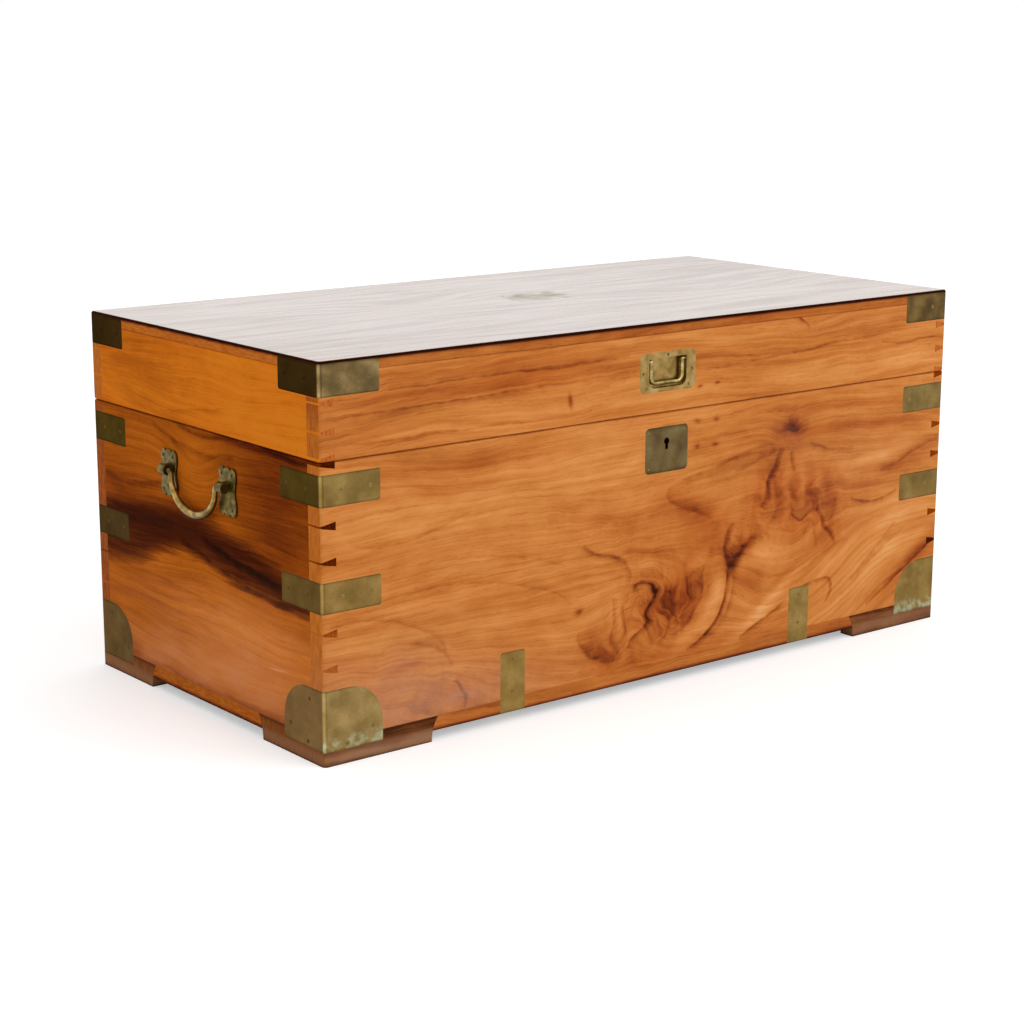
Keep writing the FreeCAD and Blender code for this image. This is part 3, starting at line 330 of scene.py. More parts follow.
class WoodPainter(Painter):
    """Lays one board of camphor wood."""

    def __init__(self, wood: Camphor) -> None:
        """Work out the board's space and what disturbs its growth rings.

        Args:
            wood: The board's wood.
        """
        super().__init__(wood.name)
        self.wood = wood
        along, across, through = wood.cut.value
        split = self.add("SeparateXYZ", self.mm).outputs
        self.flat = self.add("CombineXYZ", split[along], split[across], split[through])
        self.stirred: Any = None
        self.bent = self._wander()
        self.plane = self._plane(self.bent)
        self.total = self._disturb()
        self.rings = self._ring_space()
        facing = self.add("Math ABSOLUTE", self.normal.outputs[along])
        self.ends = self.add("MapRange", facing, 0.75, 0.9)
        self.tone: Any = wood.tone
        self.colour: Any = None

    def paint(self) -> bpy.types.Material:
        """Lay the tone, then the colour and the surface.

        Returns:
            The wood's material.
        """
        self._grain()
        self._mottle()
        self._end_grain()
        self.tone = self.add("Math ADD", self.tone, self.total["tone"])
        self._veins()
        for band in self.wood.heartwood:
            self._band(band)
        self._edges()
        steps = len(self.wood.palette) - 1
        stops = [(i / steps, shade) for i, shade in enumerate(self.wood.palette)]
        self.colour = self.add("ValToRGB", self.tone, stops=stops)
        self._redden()
        self._haze()
        return self._surface()

    def _plane(self, space: Node) -> Node:
        """Board space with a third coordinate of 1, so that a dot product can shift it."""
        split = self.add("SeparateXYZ", space).outputs
        return self.add("CombineXYZ", split["X"], split["Y"], 1.0)

    def _oval(self, plane: Node, swell: Swell) -> Node:
        """A soft oval mask, 1 at its middle.

        Args:
            plane: Board space with a third coordinate of 1.
            swell: Where the oval is.

        Returns:
            The mask.
        """
        turn = math.radians(swell.turn)
        ways = ((math.cos(turn), math.sin(turn)), (-math.sin(turn), math.cos(turn)))
        square: Any = 0.0
        for (u, v), reach in zip(ways, swell.reach):
            middle = u * swell.at[0] + v * swell.at[1]
            way = (u / reach, v / reach, -middle / reach)
            span = self.add("VectorMath DOT_PRODUCT", plane, way)
            square = self.add("Math MULTIPLY_ADD", span, span, square)
        return self.add("Math POWER", FADE, square)

    def _wander(self) -> Node:
        """Shift the board space to and fro, so that no line is ruled, most where it is stirred.

        Returns:
            The shifted space.
        """
        bent = self.flat
        stirred = [s for s in self.wood.swells if s.stir]
        if stirred:
            plane = self._plane(bent)
            self.stirred = 0.0
            for swell in stirred:
                mask = self._oval(plane, swell)
                self.stirred = self.add("Math MULTIPLY_ADD", mask, swell.stir, self.stirred)
            swirl = self.clouds(bent, (38, 30, 90), (2.7, 8.1, 0), 1.0)
            centred = self.add("VectorMath SUBTRACT", swirl.outputs["Color"], (0.5, 0.5, 0.5))
            pushed = self.add("VectorMath SCALE", centred, self.stirred)
            bent = self.add("VectorMath MULTIPLY_ADD", pushed, (2.0, 2.0, 0.0), bent)
        shift = (self.wood.seed, self.wood.seed * 0.7, 0)
        for size, reach in self.wood.bends:
            noise = self.clouds(self.flat, (size, size, size / 0.3), shift).outputs["Color"]
            bent = self.add("VectorMath MULTIPLY_ADD", noise, (reach, reach, 0), bent)
        middle = -sum(reach for _, reach in self.wood.bends) / 2
        return self.add("VectorMath ADD", bent, (middle, middle, 0))

    def _disturb(self) -> dict[str, Any]:
        """Add up what the disturbances do, one after another so that few values stay in use.

        Returns:
            The sums by name.
        """
        sums: dict[str, Any] = {"lift": 0.0, "tone": 0.0, "red": 0.0, "pale": 0.0}
        for swell in self.wood.swells:
            mask = self._oval(self.plane, swell)
            for name in sums:
                if amount := getattr(swell, name):
                    sums[name] = self.add("Math MULTIPLY_ADD", mask, amount, sums[name])
            if swell.lean:
                slope = (-swell.lean, 0, swell.lean * swell.at[0])
                rise = self.add("VectorMath DOT_PRODUCT", self.plane, slope)
                sums["lift"] = self.add("Math MULTIPLY_ADD", mask, rise, sums["lift"])
        return sums

    def _ring_space(self) -> Node:
        """Along the board, across its growth rings, and through it.

        Returns:
            A node whose vector holds the three, in millimetres.
        """
        wood = self.wood
        split = self.add("SeparateXYZ", self.bent).outputs
        across = self.add("Math MULTIPLY_ADD", split["Z"], wood.ring_slope, split["Y"])
        across = self.add("Math ADD", across, self.total["lift"])
        drift = self.clouds(self.bent, wood.drift, (wood.seed * 1.3, wood.seed, 0), 1.0)
        across = self.add("Math MULTIPLY_ADD", drift, wood.drift_reach, across)
        return self.add("CombineXYZ", split["X"], across, split["Z"])

    def _grain(self) -> None:
        """Vary the tone with broad bands, streaks, blotches, fibres, late wood and pores."""
        wood = self.wood
        # How long and how broad the marks are, how strong, and how detailed.
        layers = (
            (320.0, 34.0, wood.broad, 3.0),
            (130.0, 7.0, wood.streak, 2.0),
            (38.0, 17.0, wood.blotch, 3.0),
            (*wood.fibre, 0.10, 2.0),
        )
        for along, across, strength, detail in layers:
            shift = (wood.seed, 3.1, across)
            noise = self.clouds(self.rings, (along, across, 60), shift, detail)
            centred = self.add("Math SUBTRACT", noise, 0.5)
            self.tone = self.add("Math MULTIPLY_ADD", centred, 2 * strength, self.tone)
        across_rings = self.add("SeparateXYZ", self.rings).outputs["Y"]
        turns = self.add("Math DIVIDE", across_rings, wood.ring_space)
        late = self.add(
            "FloatCurve", 1.0, self.add("Math FRACT", turns),
            points=((0.0, 1.0), (0.12, 0.45), (0.5, 0.08), (0.9, 0.0), (0.97, 0.3), (1.0, 1.0)),
        )
        self.tone = self.add("Math MULTIPLY_ADD", late, -wood.late_wood, self.tone)
        specks = self.clouds(self.rings, (*wood.pore, 2.0), detail=0.0)
        pores = self.add("MapRange", specks, 0.64, 0.80, 0.0, -wood.pores)
        self.tone = self.add("Math ADD", self.tone, pores)

    def _mottle(self) -> None:
        """Mottle the tone where the grain is stirred, as in burl."""
        if self.stirred is None:
            return
        noise = self.clouds(self.bent, (15, 26, 60), (4.0, 1.0, 0), 4.0, Distortion=0.7)
        centred = self.add("Math SUBTRACT", noise, 0.5)
        strength = self.add("MapRange", self.stirred, 0.0, 24.0, 0.0, 0.75)
        self.tone = self.add("Math MULTIPLY_ADD", centred, strength, self.tone)

    def _end_grain(self) -> None:
        """Change the tone where the board's end shows."""
        arcs = self.clouds(self.flat, (50, 14, 2.5), detail=3.0)
        tone = self.wood.tone + self.wood.end_tone
        level = self.add("MapRange", arcs, 0.3, 0.7, tone - 0.10, tone + 0.07)
        self.tone = self.add("Mix FLOAT", self.ends, self.tone, level)

    def _veins(self) -> None:
        """Darken the tone along veins that strengthen and weaken on their way."""
        patches = self.clouds(self.bent, (13, 13, 60))
        patchy = self.add("MapRange", patches, 0.3, 0.7, 0.55, 1.3)
        for vein in self.wood.veins:
            self._vein(vein, patchy)

    def _vein(self, vein: Vein, patchy: Node) -> None:
        """Darken the tone along one vein.

        Args:
            vein: The vein.
            patchy: The factor that varies along it.
        """
        # The path as shares of the straight line between its ends, and how far it strays.
        start, end = Vector(vein.path[0]), Vector(vein.path[-1])
        chord = end - start
        run = chord.normalized()
        side = Vector((-run.y, run.x))
        steps = [Vector(p) - start for p in vein.path]
        local = [(step.dot(run) / chord.length, step.dot(side)) for step in steps]
        tall = 2 * max(20.0, *(abs(rise) * 1.05 for _, rise in local))
        along, rise = (
            self.add(
                "VectorMath DOT_PRODUCT", self.plane,
                (way.x / size, way.y / size, shift - way.dot(start) / size),
            )
            for way, size, shift in ((run, chord.length, 0.0), (side, tall, 0.5))
        )
        line = self.add("FloatCurve", 1.0, along, points=[(s, 0.5 + n / tall) for s, n in local])
        off = self.add("Math SUBTRACT", rise, line)
        hard = math.copysign(vein.width, vein.trail)
        offset = self.add("MapRange", off, -hard / tall, vein.trail / tall)
        share = vein.width / (vein.width + abs(vein.trail))
        profile = self.add(
            "FloatCurve", 1.0, offset,
            points=(
                (0.0, 0.0), (share * 0.5, 0.45), (share, 1.0), (min(0.9, share * 1.9), 0.55),
                (1.0, 0.0),
            ),
        )
        fade = self.add(
            "FloatCurve", 1.0, along,
            points=((0.0, 0.0), (0.12, 0.8), (0.5, 1.0), (0.85, 0.8), (1.0, 0.0)),
        )
        both = self.add("Math MULTIPLY", profile, fade)
        uneven = self.add("Math MULTIPLY", both, patchy)
        self.tone = self.add("Math MULTIPLY_ADD", uneven, -vein.depth, self.tone)

    def _band(self, band: Heartwood) -> None:
        """Darken the tone between two lines with torn edges, most near the lower one.

        Args:
            band: The heartwood band.
        """
        # A curve's 0 to 1 stands for heights from 0 to this many millimetres.
        tall = 500.0
        ragged = self.wood.ragged
        first, last = band.lower[0][0], band.lower[-1][0]
        split = self.add("SeparateXYZ", self.bent).outputs
        share = self.add("MapRange", split["X"], first, last)
        streaks = self.clouds(self.bent, (120, 7, 60), (3.0, 2.0, 0), 3.0)
        torn = self.add("Math MULTIPLY_ADD", streaks, ragged, split["Y"])
        height = self.add("Math MULTIPLY_ADD", torn, 1 / tall, -0.5 * ragged / tall)
        low, high = (
            self.add(
                "FloatCurve", 1.0, share,
                points=[((u - first) / (last - first), v / tall) for u, v in line],
            )
            for line in (band.lower, band.upper)
        )
        rise = self.add("Math SUBTRACT", height, low)
        room = self.add("Math SUBTRACT", high, low)
        dark = self.add(
            "FloatCurve", 1.0, self.add("Math DIVIDE", rise, room),
            points=((0.0, 0.0), (0.12, 0.6), (0.3, 1.0), (0.62, 0.9), (0.85, 0.4), (1.0, 0.0)),
        )
        self.tone = self.add("Math MULTIPLY_ADD", dark, -band.depth, self.tone)

    def _edges(self) -> None:
        """Darken the tone along the edges at the given heights, but not on level tops."""
        total: Any = 0.0
        for line in self.wood.dark_lines:
            height, reach = line.height / MM_PER_M, line.reach / MM_PER_M
            mask = self.near(self.metres.outputs["Z"], height, reach)
            total = self.add("Math MULTIPLY_ADD", mask, line.depth, total)
        level = self.add("MapRange", self.normal.outputs["Z"], 0.80, 0.99, 1.0, 0.0)
        dark_edges = self.add("Math MULTIPLY", total, level)
        self.tone = self.add("Math SUBTRACT", self.tone, dark_edges)

    def _redden(self) -> None:
        """Turn the colour redder in drifts along the grain, and deeper on the end grain."""
        drift = self.clouds(self.bent, (150, 42, 200), (self.wood.seed * 0.9, 5.0, 0), 3.0)
        drifts = self.add("MapRange", drift, 0.42, 0.68, 0.0, self.wood.ruddy)
        share = self.add("Math ADD", drifts, self.total["red"], use_clamp=True)
        redder = self.add("VectorMath MULTIPLY", self.colour, (0.90, 0.70, 0.60))
        drifted = self.add("Mix RGBA", share, self.colour, redder)
        tint, lift = self.wood.end_tint, self.wood.end_lift
        deeper = self.add("VectorMath MULTIPLY_ADD", drifted, tint, lift)
        self.colour = self.add("Mix RGBA", self.ends, drifted, deeper)

    def _haze(self) -> None:
        """Bleach the colour where the wax has worn away, and turn a polished top toward
        the grey of its glare, a painted reflection.
        """
        pale = self.total["pale"]
        if isinstance(pale, Node):
            patches = self.clouds(self.bent, (60, 26, math.inf), detail=4.0)
            uneven = self.add("MapRange", patches, 0.25, 0.7, 0.35)
            share = self.add("Math MULTIPLY", pale, uneven, use_clamp=True)
            self.colour = self.add("Mix RGBA", share, self.colour, linear(self.wood.haze))
        if self.wood.polish:
            # Painted reflection: the top's colour is turned toward the grey of its glare.
            cooler = self.add("VectorMath MULTIPLY", self.colour, self.wood.above)
            self.colour = self.add("Mix RGBA", self._upward(), self.colour, cooler)

    def _upward(self) -> Node:
        """A mask that is 1 on a level top."""
        return self.add("MapRange", self.normal.outputs["Z"], 0.9, 1.0)

    def _coat(self) -> Any:
        """The clear coat's weight: rubbed along the grain on a polished top, none elsewhere.

        Returns:
            The weight.
        """
        polish = self.wood.polish
        if not polish:
            return 0.0
        rubs = self.clouds(self.rings, (160, 9, 60), detail=4.0)
        level = self.add("MapRange", rubs, 0.3, 0.62, polish * 0.85, polish * 1.08)
        return self.add("Math MULTIPLY", level, self._upward())

    def _surface(self) -> bpy.types.Material:
        """Close the tree with a waxed surface whose sheen follows the grain.

        Returns:
            The wood's material.
        """
        wood = self.wood
        fibres = self.clouds(self.rings, (40, 1.4, 10), detail=3.0)
        matt, open_wood = wood.roughness - 0.06, wood.roughness + 0.08
        return self.close(
            0.25,
            self.add("Math MULTIPLY_ADD", fibres, 0.5, self.tone),
            {
                "Base Color": self.colour,
                "Roughness": self.add("MapRange", fibres, 0.3, 0.7, matt, open_wood),
                "IOR": 1.5,
                "Specular IOR Level": wood.sheen,
                "Coat Weight": self._coat(),
                "Coat Roughness": 0.16,
            },
        )


# ---- Metals --------------------------------------------------------------------------------


@dataclass(frozen=True)
class Brass:
    """Brass that has tarnished for a century and been rubbed now and then.

    The eye gets a soft olive brown skin with faint clouds and rubbing scratches, darker lines
    along set heights, and a painted highlight on rounded corners. Where set, it also gets
    painted light on tops, painted shade on undersides and painted shade on the chest's ends.
    """

    name: str
    dark: str = "#7C5F38"
    middle: str = "#9A7749"
    bright: str = "#AE8C5A"
    # The colour of the painted shade on the chest's ends, drawn as a brown skin that is not
    # metallic.
    end_shade: str = ""
    # How strong the painted highlight on rounded corners is, with its painted dark line beside it.
    arris: float = 0.0
    # How strong the painted light on tops and the painted shade on undersides are.
    painted_shading: float = 0.0
    rims: tuple[float, ...] = ()
    rim_depth: float = 0.45
    bloom: float = 0.0
    verdigris: str = "#A9B596"
    roughness: float = 0.40
    seed: float = 0.0
    # Real sizes in millimetres. Scratches are finer, and are drawn as coarse as shows.
    cloud: float = 26.0
    scratch: Point = (38.0, 0.9)
    scratch_turn: Triple = (24.0, 17.0, 24.0)
    rim_reach: float = 1.6
    bloom_height: Point = (24.0, 38.0)

    def make(self) -> bpy.types.Material:
        """Build the material."""
        return BrassPainter(self).paint()


class BrassPainter(Painter):
    """Lays one piece of brass."""

    def __init__(self, brass: Brass) -> None:
        """Lay the tarnish and find the chest's ends.

        Args:
            brass: The piece's finish.
        """
        super().__init__(brass.name)
        self.brass = brass
        self.tarnish = self.clouds(self.mm, (brass.cloud,) * 3, (brass.seed,) * 3, 4.0)
        self.height = self.add("SeparateXYZ", self.mm).outputs["Z"]
        self.facing = self.add("Math ABSOLUTE", self.normal.outputs["X"])
        stops = ((0.30, brass.dark), (0.5, brass.middle), (0.72, brass.bright))
        self.colour = self.add("ValToRGB", self.tarnish, stops=stops)

    def paint(self) -> bpy.types.Material:
        """Lay the bloom, the crust and the wear.

        Returns:
            The brass's material.
        """
        brass = self.brass
        if brass.bloom:
            self._verdigris()
        metal = self._end_shade() if brass.end_shade else 1.0
        length, width = brass.scratch
        turned = self.add(
            "Mapping",
            {
                "Vector": self.mm,
                "Rotation": [math.radians(angle) for angle in brass.scratch_turn],
                "Scale": (length, width, width),
            },
            vector_type="TEXTURE",
        )
        rubs = self.add("TexNoise", turned, 1.0, 2.0)
        dull, rubbed = brass.roughness + 0.10, brass.roughness - 0.06
        return self.close(
            0.15,
            self.add("Math ADD", self.tarnish, rubs),
            {
                "Base Color": self.add("VectorMath SCALE", self.colour, self._wear_and_painted_light(rubs)),
                "Metallic": metal,
                "Roughness": self.add("MapRange", self.tarnish, 0.3, 0.7, dull, rubbed),
                "Specular IOR Level": 0.0,
            },
        )

    def _end_shade(self) -> Node:
        """Paint shade on the chest's ends, as a darker brown skin that is not metallic.

        Returns:
            How metallic each point is.
        """
        mask = self.add("MapRange", self.facing, 0.86, 0.995)
        level = self.add("MapRange", self.tarnish, 0.3, 0.7, 0.78, 1.22)
        end_shade = self.add("VectorMath SCALE", linear(self.brass.end_shade)[:3], level)
        self.colour = self.add("Mix RGBA", mask, self.colour, end_shade)
        return self.add("MapRange", mask, 0.0, 1.0, 1.0, 0.0)

    def _verdigris(self) -> None:
        """Lay a pale green bloom near the floor, where damp has reached."""
        low = self.add(
            "MapRange", self.height, *self.brass.bloom_height, self.brass.bloom, 0.0,
            interpolation_type="SMOOTHSTEP",
        )
        spots = self.clouds(self.mm, (9, 9, 9), detail=4.0)
        patches = self.add("MapRange", spots, 0.4, 0.6)
        share = self.add("Math MULTIPLY", low, patches)
        self.colour = self.add("Mix RGBA", share, self.colour, linear(self.brass.verdigris))

    def _wear_and_painted_light(self, rubs: Node) -> Node:
        """How bright the metal is: scratches, a painted highlight with a painted dark line beside
        it on rounded corners, dark rims, and painted light on tops with painted shade on
        undersides.

        Args:
            rubs: The scratches.

        Returns:
            The factor on the colour.
        """
        arris, painted_shading = self.brass.arris, self.brass.painted_shading
        level = self.add("MapRange", rubs, 0.3, 0.72, 0.90, 1.10)
        factors = []
        if arris:
            # Painted highlight on the rounded corners where they turn toward the ends, with a
            # painted dark line where they meet the front and back faces.
            turn = self.add(
                "FloatCurve", 1.0, self.facing,
                points=(
                    (0.0, 0.5), (0.05, 0.4), (0.16, 0.22), (0.36, 0.4), (0.6, 0.95),
                    (0.86, 1.0), (0.95, 0.5), (1.0, 0.5),
                ),
            )
            factors.append(self.add("MapRange", turn, 0.0, 1.0, 1 - arris, 1 + arris))
        if painted_shading:
            # Painted light and shade: lighter on tops and on faces toward the ends, darker on
            # undersides.
            lit = self.add("Math MULTIPLY_ADD", self.facing, 0.45, self.normal.outputs["Z"])
            shade = self.add(
                "MapRange", lit, -0.5, 0.75, 1 - painted_shading, 1 + 0.8 * painted_shading,
                interpolation_type="SMOOTHSTEP",
            )
            factors.append(shade)
        for rim in self.brass.rims:
            mask = self.near(self.height, rim, self.brass.rim_reach)
            factors.append(self.add("Math MULTIPLY_ADD", mask, -self.brass.rim_depth, 1.0))
        for factor in factors:
            level = self.add("Math MULTIPLY", level, factor)
        return level


@dataclass(frozen=True)
class Iron:
    """Wrought iron, filed and left to dull.

    The eye gets grey metal with brown rust in its low places.
    """

    name: str
    steel: str = "#56524C"
    rust: str = "#5B3A26"
    roughness: float = 0.55
    # Real size in millimetres.
    bloom: float = 7.0

    def make(self) -> bpy.types.Material:
        """Build the material.

        Returns:
            The iron's node material.
        """
        painter = Painter(self.name)
        blooms = painter.clouds(painter.mm, (self.bloom,) * 3, detail=6.0, Roughness=0.65)
        stops = ((0.42, self.steel), (0.62, self.rust))
        sockets = {
            "Base Color": painter.add("ValToRGB", blooms, stops=stops),
            "Metallic": painter.add("MapRange", blooms, 0.45, 0.6, 1.0, 0.2),
            "Roughness": self.roughness,
        }
        return painter.close(0.3, blooms, sockets)


# ---- The figure of each board, in millimetres along and up it ------------------------------

FRONT_SWELLS = (
    # The knot and its halo.
    Swell((218, 303), (11, 10), -0.14, 0.1, lift=6),
    Swell((213, 299), (34, 24), -0.15, 0.35, lift=14, stir=8, pale=0.1),
    Swell((218, 300), (23, 18), -0.11, 0.3, stir=5),
    # The dark swirl in the middle, the hook on its left and the bright wood beside it.
    Swell((24, 100), (50, 38), -0.17, 0.8, turn=10, lift=46, stir=22),
    Swell((-42, 100), (48, 52), -0.04, 0.4, lift=-30, stir=18),
    Swell((-49, 134), (11, 9), -0.24),
    Swell((-24, 130), (17, 10), -0.18, turn=-25),
    Swell((-20, 98), (10, 22), -0.16),
    Swell((18, 108), (6, 18), -0.2),
    Swell((-74, 96), (14, 34), 0.12),
    Swell((-98, 54), (26, 22), -0.16, 0.6, stir=16),
    Swell((-52, 46), (14, 14), -0.16, 0.4),
    Swell((-122, 80), (14, 20), -0.1, 0.4),
    Swell((0, 36), (130, 10), -0.1, 0.5),
    Swell((86, 104), (30, 15), 0.23, turn=72),
    Swell((48, 58), (42, 11), 0.18, turn=38),
    Swell((56, 150), (34, 12), 0.12, turn=38),
    # The dark cluster between the swirl and the knot.
    Swell((117, 139), (11, 17), -0.34, 0.5, turn=-8, stir=8),
    Swell((140, 164), (30, 15), -0.2, 0.5, turn=18, stir=14),
    Swell((92, 170), (22, 40), -0.06, 0.4, turn=-20, stir=8),
    Swell((166, 222), (56, 26), -0.08, 0.7, turn=58, stir=6),
    Swell((66, 188), (40, 30), -0.08, 0.5, turn=-30),
    Swell((40, 128), (34, 28), -0.08, 0.5, turn=20, stir=8),
    # Flame that hangs from the knot.
    Swell((200, 216), (8, 36), -0.09, 0.6, turn=6),
    Swell((226, 210), (7, 34), -0.08, 0.6),
    Swell((258, 212), (8, 32), -0.1, 0.6, turn=12),
    Swell((292, 210), (10, 30), -0.08, 0.5, turn=18),
    Swell((242, 226), (6, 26), 0.08, turn=6),
    Swell((150, 112), (40, 20), -0.1, 0.5, turn=25),
    Swell((172, 140), (28, 14), 0.2, turn=-30),
    Swell((196, 86), (60, 9), 0.18, turn=31),
    Swell((150, 50), (54, 10), 0.14, turn=26),
    Swell((214, 108), (44, 8), -0.1, 0.3, turn=28),
    Swell((245, 200), (88, 52), -0.12, 0.7, turn=-10, stir=16),
    Swell((292, 160), (22, 26), -0.08, 0.4, turn=-35, stir=8),
    # Flowing grain low on the right, pale above and ruddy by the corner.
    Swell((330, 85), (190, 85), lean=0.66),
    Swell((300, 118), (70, 16), 0.12, turn=30),
    Swell((392, 134), (70, 30), 0.14, turn=38),
    Swell((400, 250), (70, 12), 0.1, turn=8),
    Swell((462, 96), (66, 12), -0.14, 0.7, turn=32),
    Swell((440, 232), (70, 12), -0.12, 0.6, turn=16),
    Swell((360, 292), (140, 7), -0.14, 0.8, turn=-2),
    Swell((330, 322), (130, 6), -0.08, 0.6, turn=-3),
    # Quiet wood above on the left, brown about the middle.
    Swell((-330, 200), (230, 100), 0.03),
    Swell((-270, 286), (170, 34), 0.04),
    Swell((-90, 300), (90, 26), 0.07),
    Swell((340, 240), (150, 70), 0.015, pale=0.1),
    Swell((350, 58), (90, 26), 0.06, turn=22),
    Swell((-60, 215), (90, 20), -0.09, 0.4, turn=-6, stir=7),
    Swell((-20, 178), (60, 16), -0.06, 0.4, turn=-14, stir=7),
    Swell((40, 222), (60, 20), -0.09, 0.5, turn=-24),
    Swell((-470, 20), (200, 110), lift=-72),
    # Worn and bleached low on the left, with a fly spot and a patch of burl.
    Swell((-418, 66), (96, 52), -0.05, 0.3, stir=11, pale=0.58),
    Swell((-300, 46), (110, 30), -0.05, stir=9, pale=0.5),
    Swell((-368, 44), (14, 9), -0.14, 0.5),
    Swell((-392, 96), (30, 5), -0.1, 0.4, turn=12),
    Swell((-138, 118), (7, 4.5), -0.34),
    Swell((-182, 238), (24, 11), -0.05, stir=10),
    Swell((-300, 322), (170, 9), -0.1, 0.5),
    Swell((-330, 296), (120, 7), -0.06, 0.3),
    *(Swell(at, (5.5, 3.0), -0.26) for at in ((50, 330), (82, 328), (50, 299), (82, 298))),
    # Painted shade in the keyhole.
    Swell((0, 308), (8, 13), -1.4),
)
FRONT_VEINS = (
    Vein(((198, 277), (186, 246), (178, 226), (169, 205)), 0.26, 6.0, 9),
    Vein(((190, 278), (160, 268), (118, 256)), 0.14, 4.0, -10),
    Vein(((216, 272), (220, 258), (228, 243)), 0.16, 4.0, 8),
    Vein(((250, 280), (284, 269), (308, 265), (335, 264)), 0.2, 3.4, -10),
    Vein(((2, 246), (12, 254), (42, 262), (91, 271), (132, 280), (186, 286)), 0.17, 4.2, -18),
    Vein(((1, 248), (8, 236), (22, 227), (49, 217), (80, 203)), 0.15, 5.0, 18),
    Vein(((118, 192), (107, 178), (105, 165), (108, 150), (113, 132)), 0.26, 5.5, 10),
    Vein(((165, 171), (140, 165), (128, 152), (116, 134)), 0.17, 7.0, 14),
    Vein(((109, 132), (107, 108), (102, 88), (92, 70), (73, 54), (40, 36)), 0.38, 3.6, 9),
    Vein(((120, 122), (117, 96), (104, 70), (76, 48)), 0.15, 3.4, 9),
    Vein(((-132, 198), (-109, 184), (-80, 177), (-64, 166), (-58, 140)), 0.26, 4.0, -10),
    Vein(((-50, 139), (-24, 134), (-16, 118), (-20, 97), (-37, 76), (-58, 54)), 0.3, 6.5, 13),
    Vein(((-54, 130), (-44, 140), (-26, 138), (-12, 122)), 0.22, 4.5, -8),
    Vein(((66, 146), (64, 118), (56, 92), (40, 74), (14, 60)), 0.16, 4.0, -30),
    Vein(((42, 128), (40, 104), (30, 84)), 0.18, 4.0, 10),
    Vein(((4, 90), (2, 72), (-8, 56)), 0.16, 4.0, 8),
    Vein(((-84, 124), (-80, 100), (-86, 74), (-80, 52)), 0.15, 4.0, 9),
    Vein(((-66, 116), (-62, 92), (-70, 66)), 0.13, 3.5, -7),
    Vein(((-140, 92), (-132, 70), (-112, 54), (-70, 48)), 0.18, 4.5, 12),
    Vein(((222, 198), (232, 184), (242, 183), (258, 195)), 0.22, 4.0, 8),
    Vein(((186, 246), (194, 222), (190, 196), (180, 176)), 0.12, 5.0, 9),
    Vein(((262, 192), (284, 166), (294, 152), (302, 138)), 0.24, 5.5, 9),
    Vein(((240, 178), (262, 160), (270, 140)), 0.12, 5.0, 9),
    Vein(((330, 195), (360, 187), (392, 186), (424, 195)), 0.3, 3.0, -9),
    Vein(((134, 38), (162, 50), (190, 62), (218, 75)), 0.3, 3.4, -10),
    Vein(((226, 86), (252, 88), (280, 93), (296, 92)), 0.26, 3.6, -8),
    Vein(((286, 95), (297, 90), (301, 80), (298, 68), (289, 56)), 0.24, 3.6, -7),
    Vein(((368, 40), (420, 70), (460, 90), (510, 118)), 0.26, 3.4, 14),
    Vein(((336, 80), (372, 108), (404, 136), (424, 152)), 0.14, 4.0, -18),
    Vein(((300, 52), (350, 82), (392, 114), (440, 140)), 0.13, 4.0, 14),
    Vein(((210, 96), (250, 112), (290, 132), (330, 144)), 0.12, 4.0, -12),
    Vein(((388, 224), (424, 232), (460, 244), (508, 256)), 0.16, 4.0, 14),
    Vein(((-328, 66), (-319, 60), (-316, 46), (-314, 30)), 0.36, 2.6, 5),
    Vein(((-430, 122), (-390, 124), (-350, 108), (-330, 84)), 0.16, 3.4, 12),
    Vein(((-500, 158), (-420, 156), (-366, 132), (-340, 100)), 0.12, 3.0, 12),
    Vein(((-470, 250), (-400, 243), (-352, 252), (-300, 268)), 0.11, 3.0, 12),
    Vein(((-430, 205), (-330, 212), (-250, 204), (-160, 176)), 0.1, 3.0, 14),
    Vein(((-400, 178), (-300, 180), (-210, 160), (-150, 128)), 0.1, 3.0, 12),
)
LEFT_BAND = Heartwood(
    lower=(
        (255, 140), (200, 144), (150, 154), (100, 174), (50, 184), (0, 180), (-50, 174),
        (-100, 170), (-150, 168), (-255, 166),
    ),
    upper=(
        (255, 240), (150, 246), (80, 256), (20, 258), (-40, 248), (-100, 232), (-170, 216),
        (-255, 206),
    ),
    depth=0.43,
)
LEFT_SWELLS = (
    # The front half of the board is red heartwood right up to the seam.
    Swell((-160, 264), (95, 84), -0.24, 0.3),
    Swell((-215, 325), (80, 40), -0.08, 0.8),
    Swell((-130, 186), (100, 24), 0.12),
    Swell((-200, 226), (100, 26), 0.05, 0.3),
    Swell((0, 208), (60, 20), 0.05),
    Swell((10, 300), (50, 26), 0.06),
    Swell((20, 216), (90, 26), -0.06),
    Swell((-255, 255), (18, 46), -0.2),
    # Painted shadow under the lid's edge: a dark red strip just below the seam on the front half.
    Swell((-170, 343), (120, 4), -0.3, 1.0),
    Swell((190, 343), (110, 5), -0.12),
    Swell((190, 250), (110, 34), -0.14, 0.3),
    Swell((10, 295), (60, 40), 0.02, lift=30),
    # Below the band the wood is pale and worn.
    Swell((-110, 112), (160, 44), 0.2, pale=0.46),
    Swell((120, 118), (150, 36), 0.02, pale=0.1),
    Swell((135, 292), (60, 50), 0.03),
    Swell((-100, 56), (130, 30), 0.1, pale=0.56),
    # Bruises and grime along the bottom edge.
    Swell((-196, 38), (40, 9), -0.2, 0.5, stir=8),
    Swell((-110, 31), (70, 5), -0.16, 0.6, stir=6),
    Swell((60, 33), (90, 5), -0.14, 0.8, stir=8),
    Swell((196, 40), (44, 10), -0.16, 0.4, stir=8),
    Swell((90, 50), (130, 30), 0.05, pale=0.55),
    Swell((10, 32), (5, 4), -0.24),
    Swell((-164, 93), (15, 1.3), 0.1, turn=-5, pale=1.6),
)
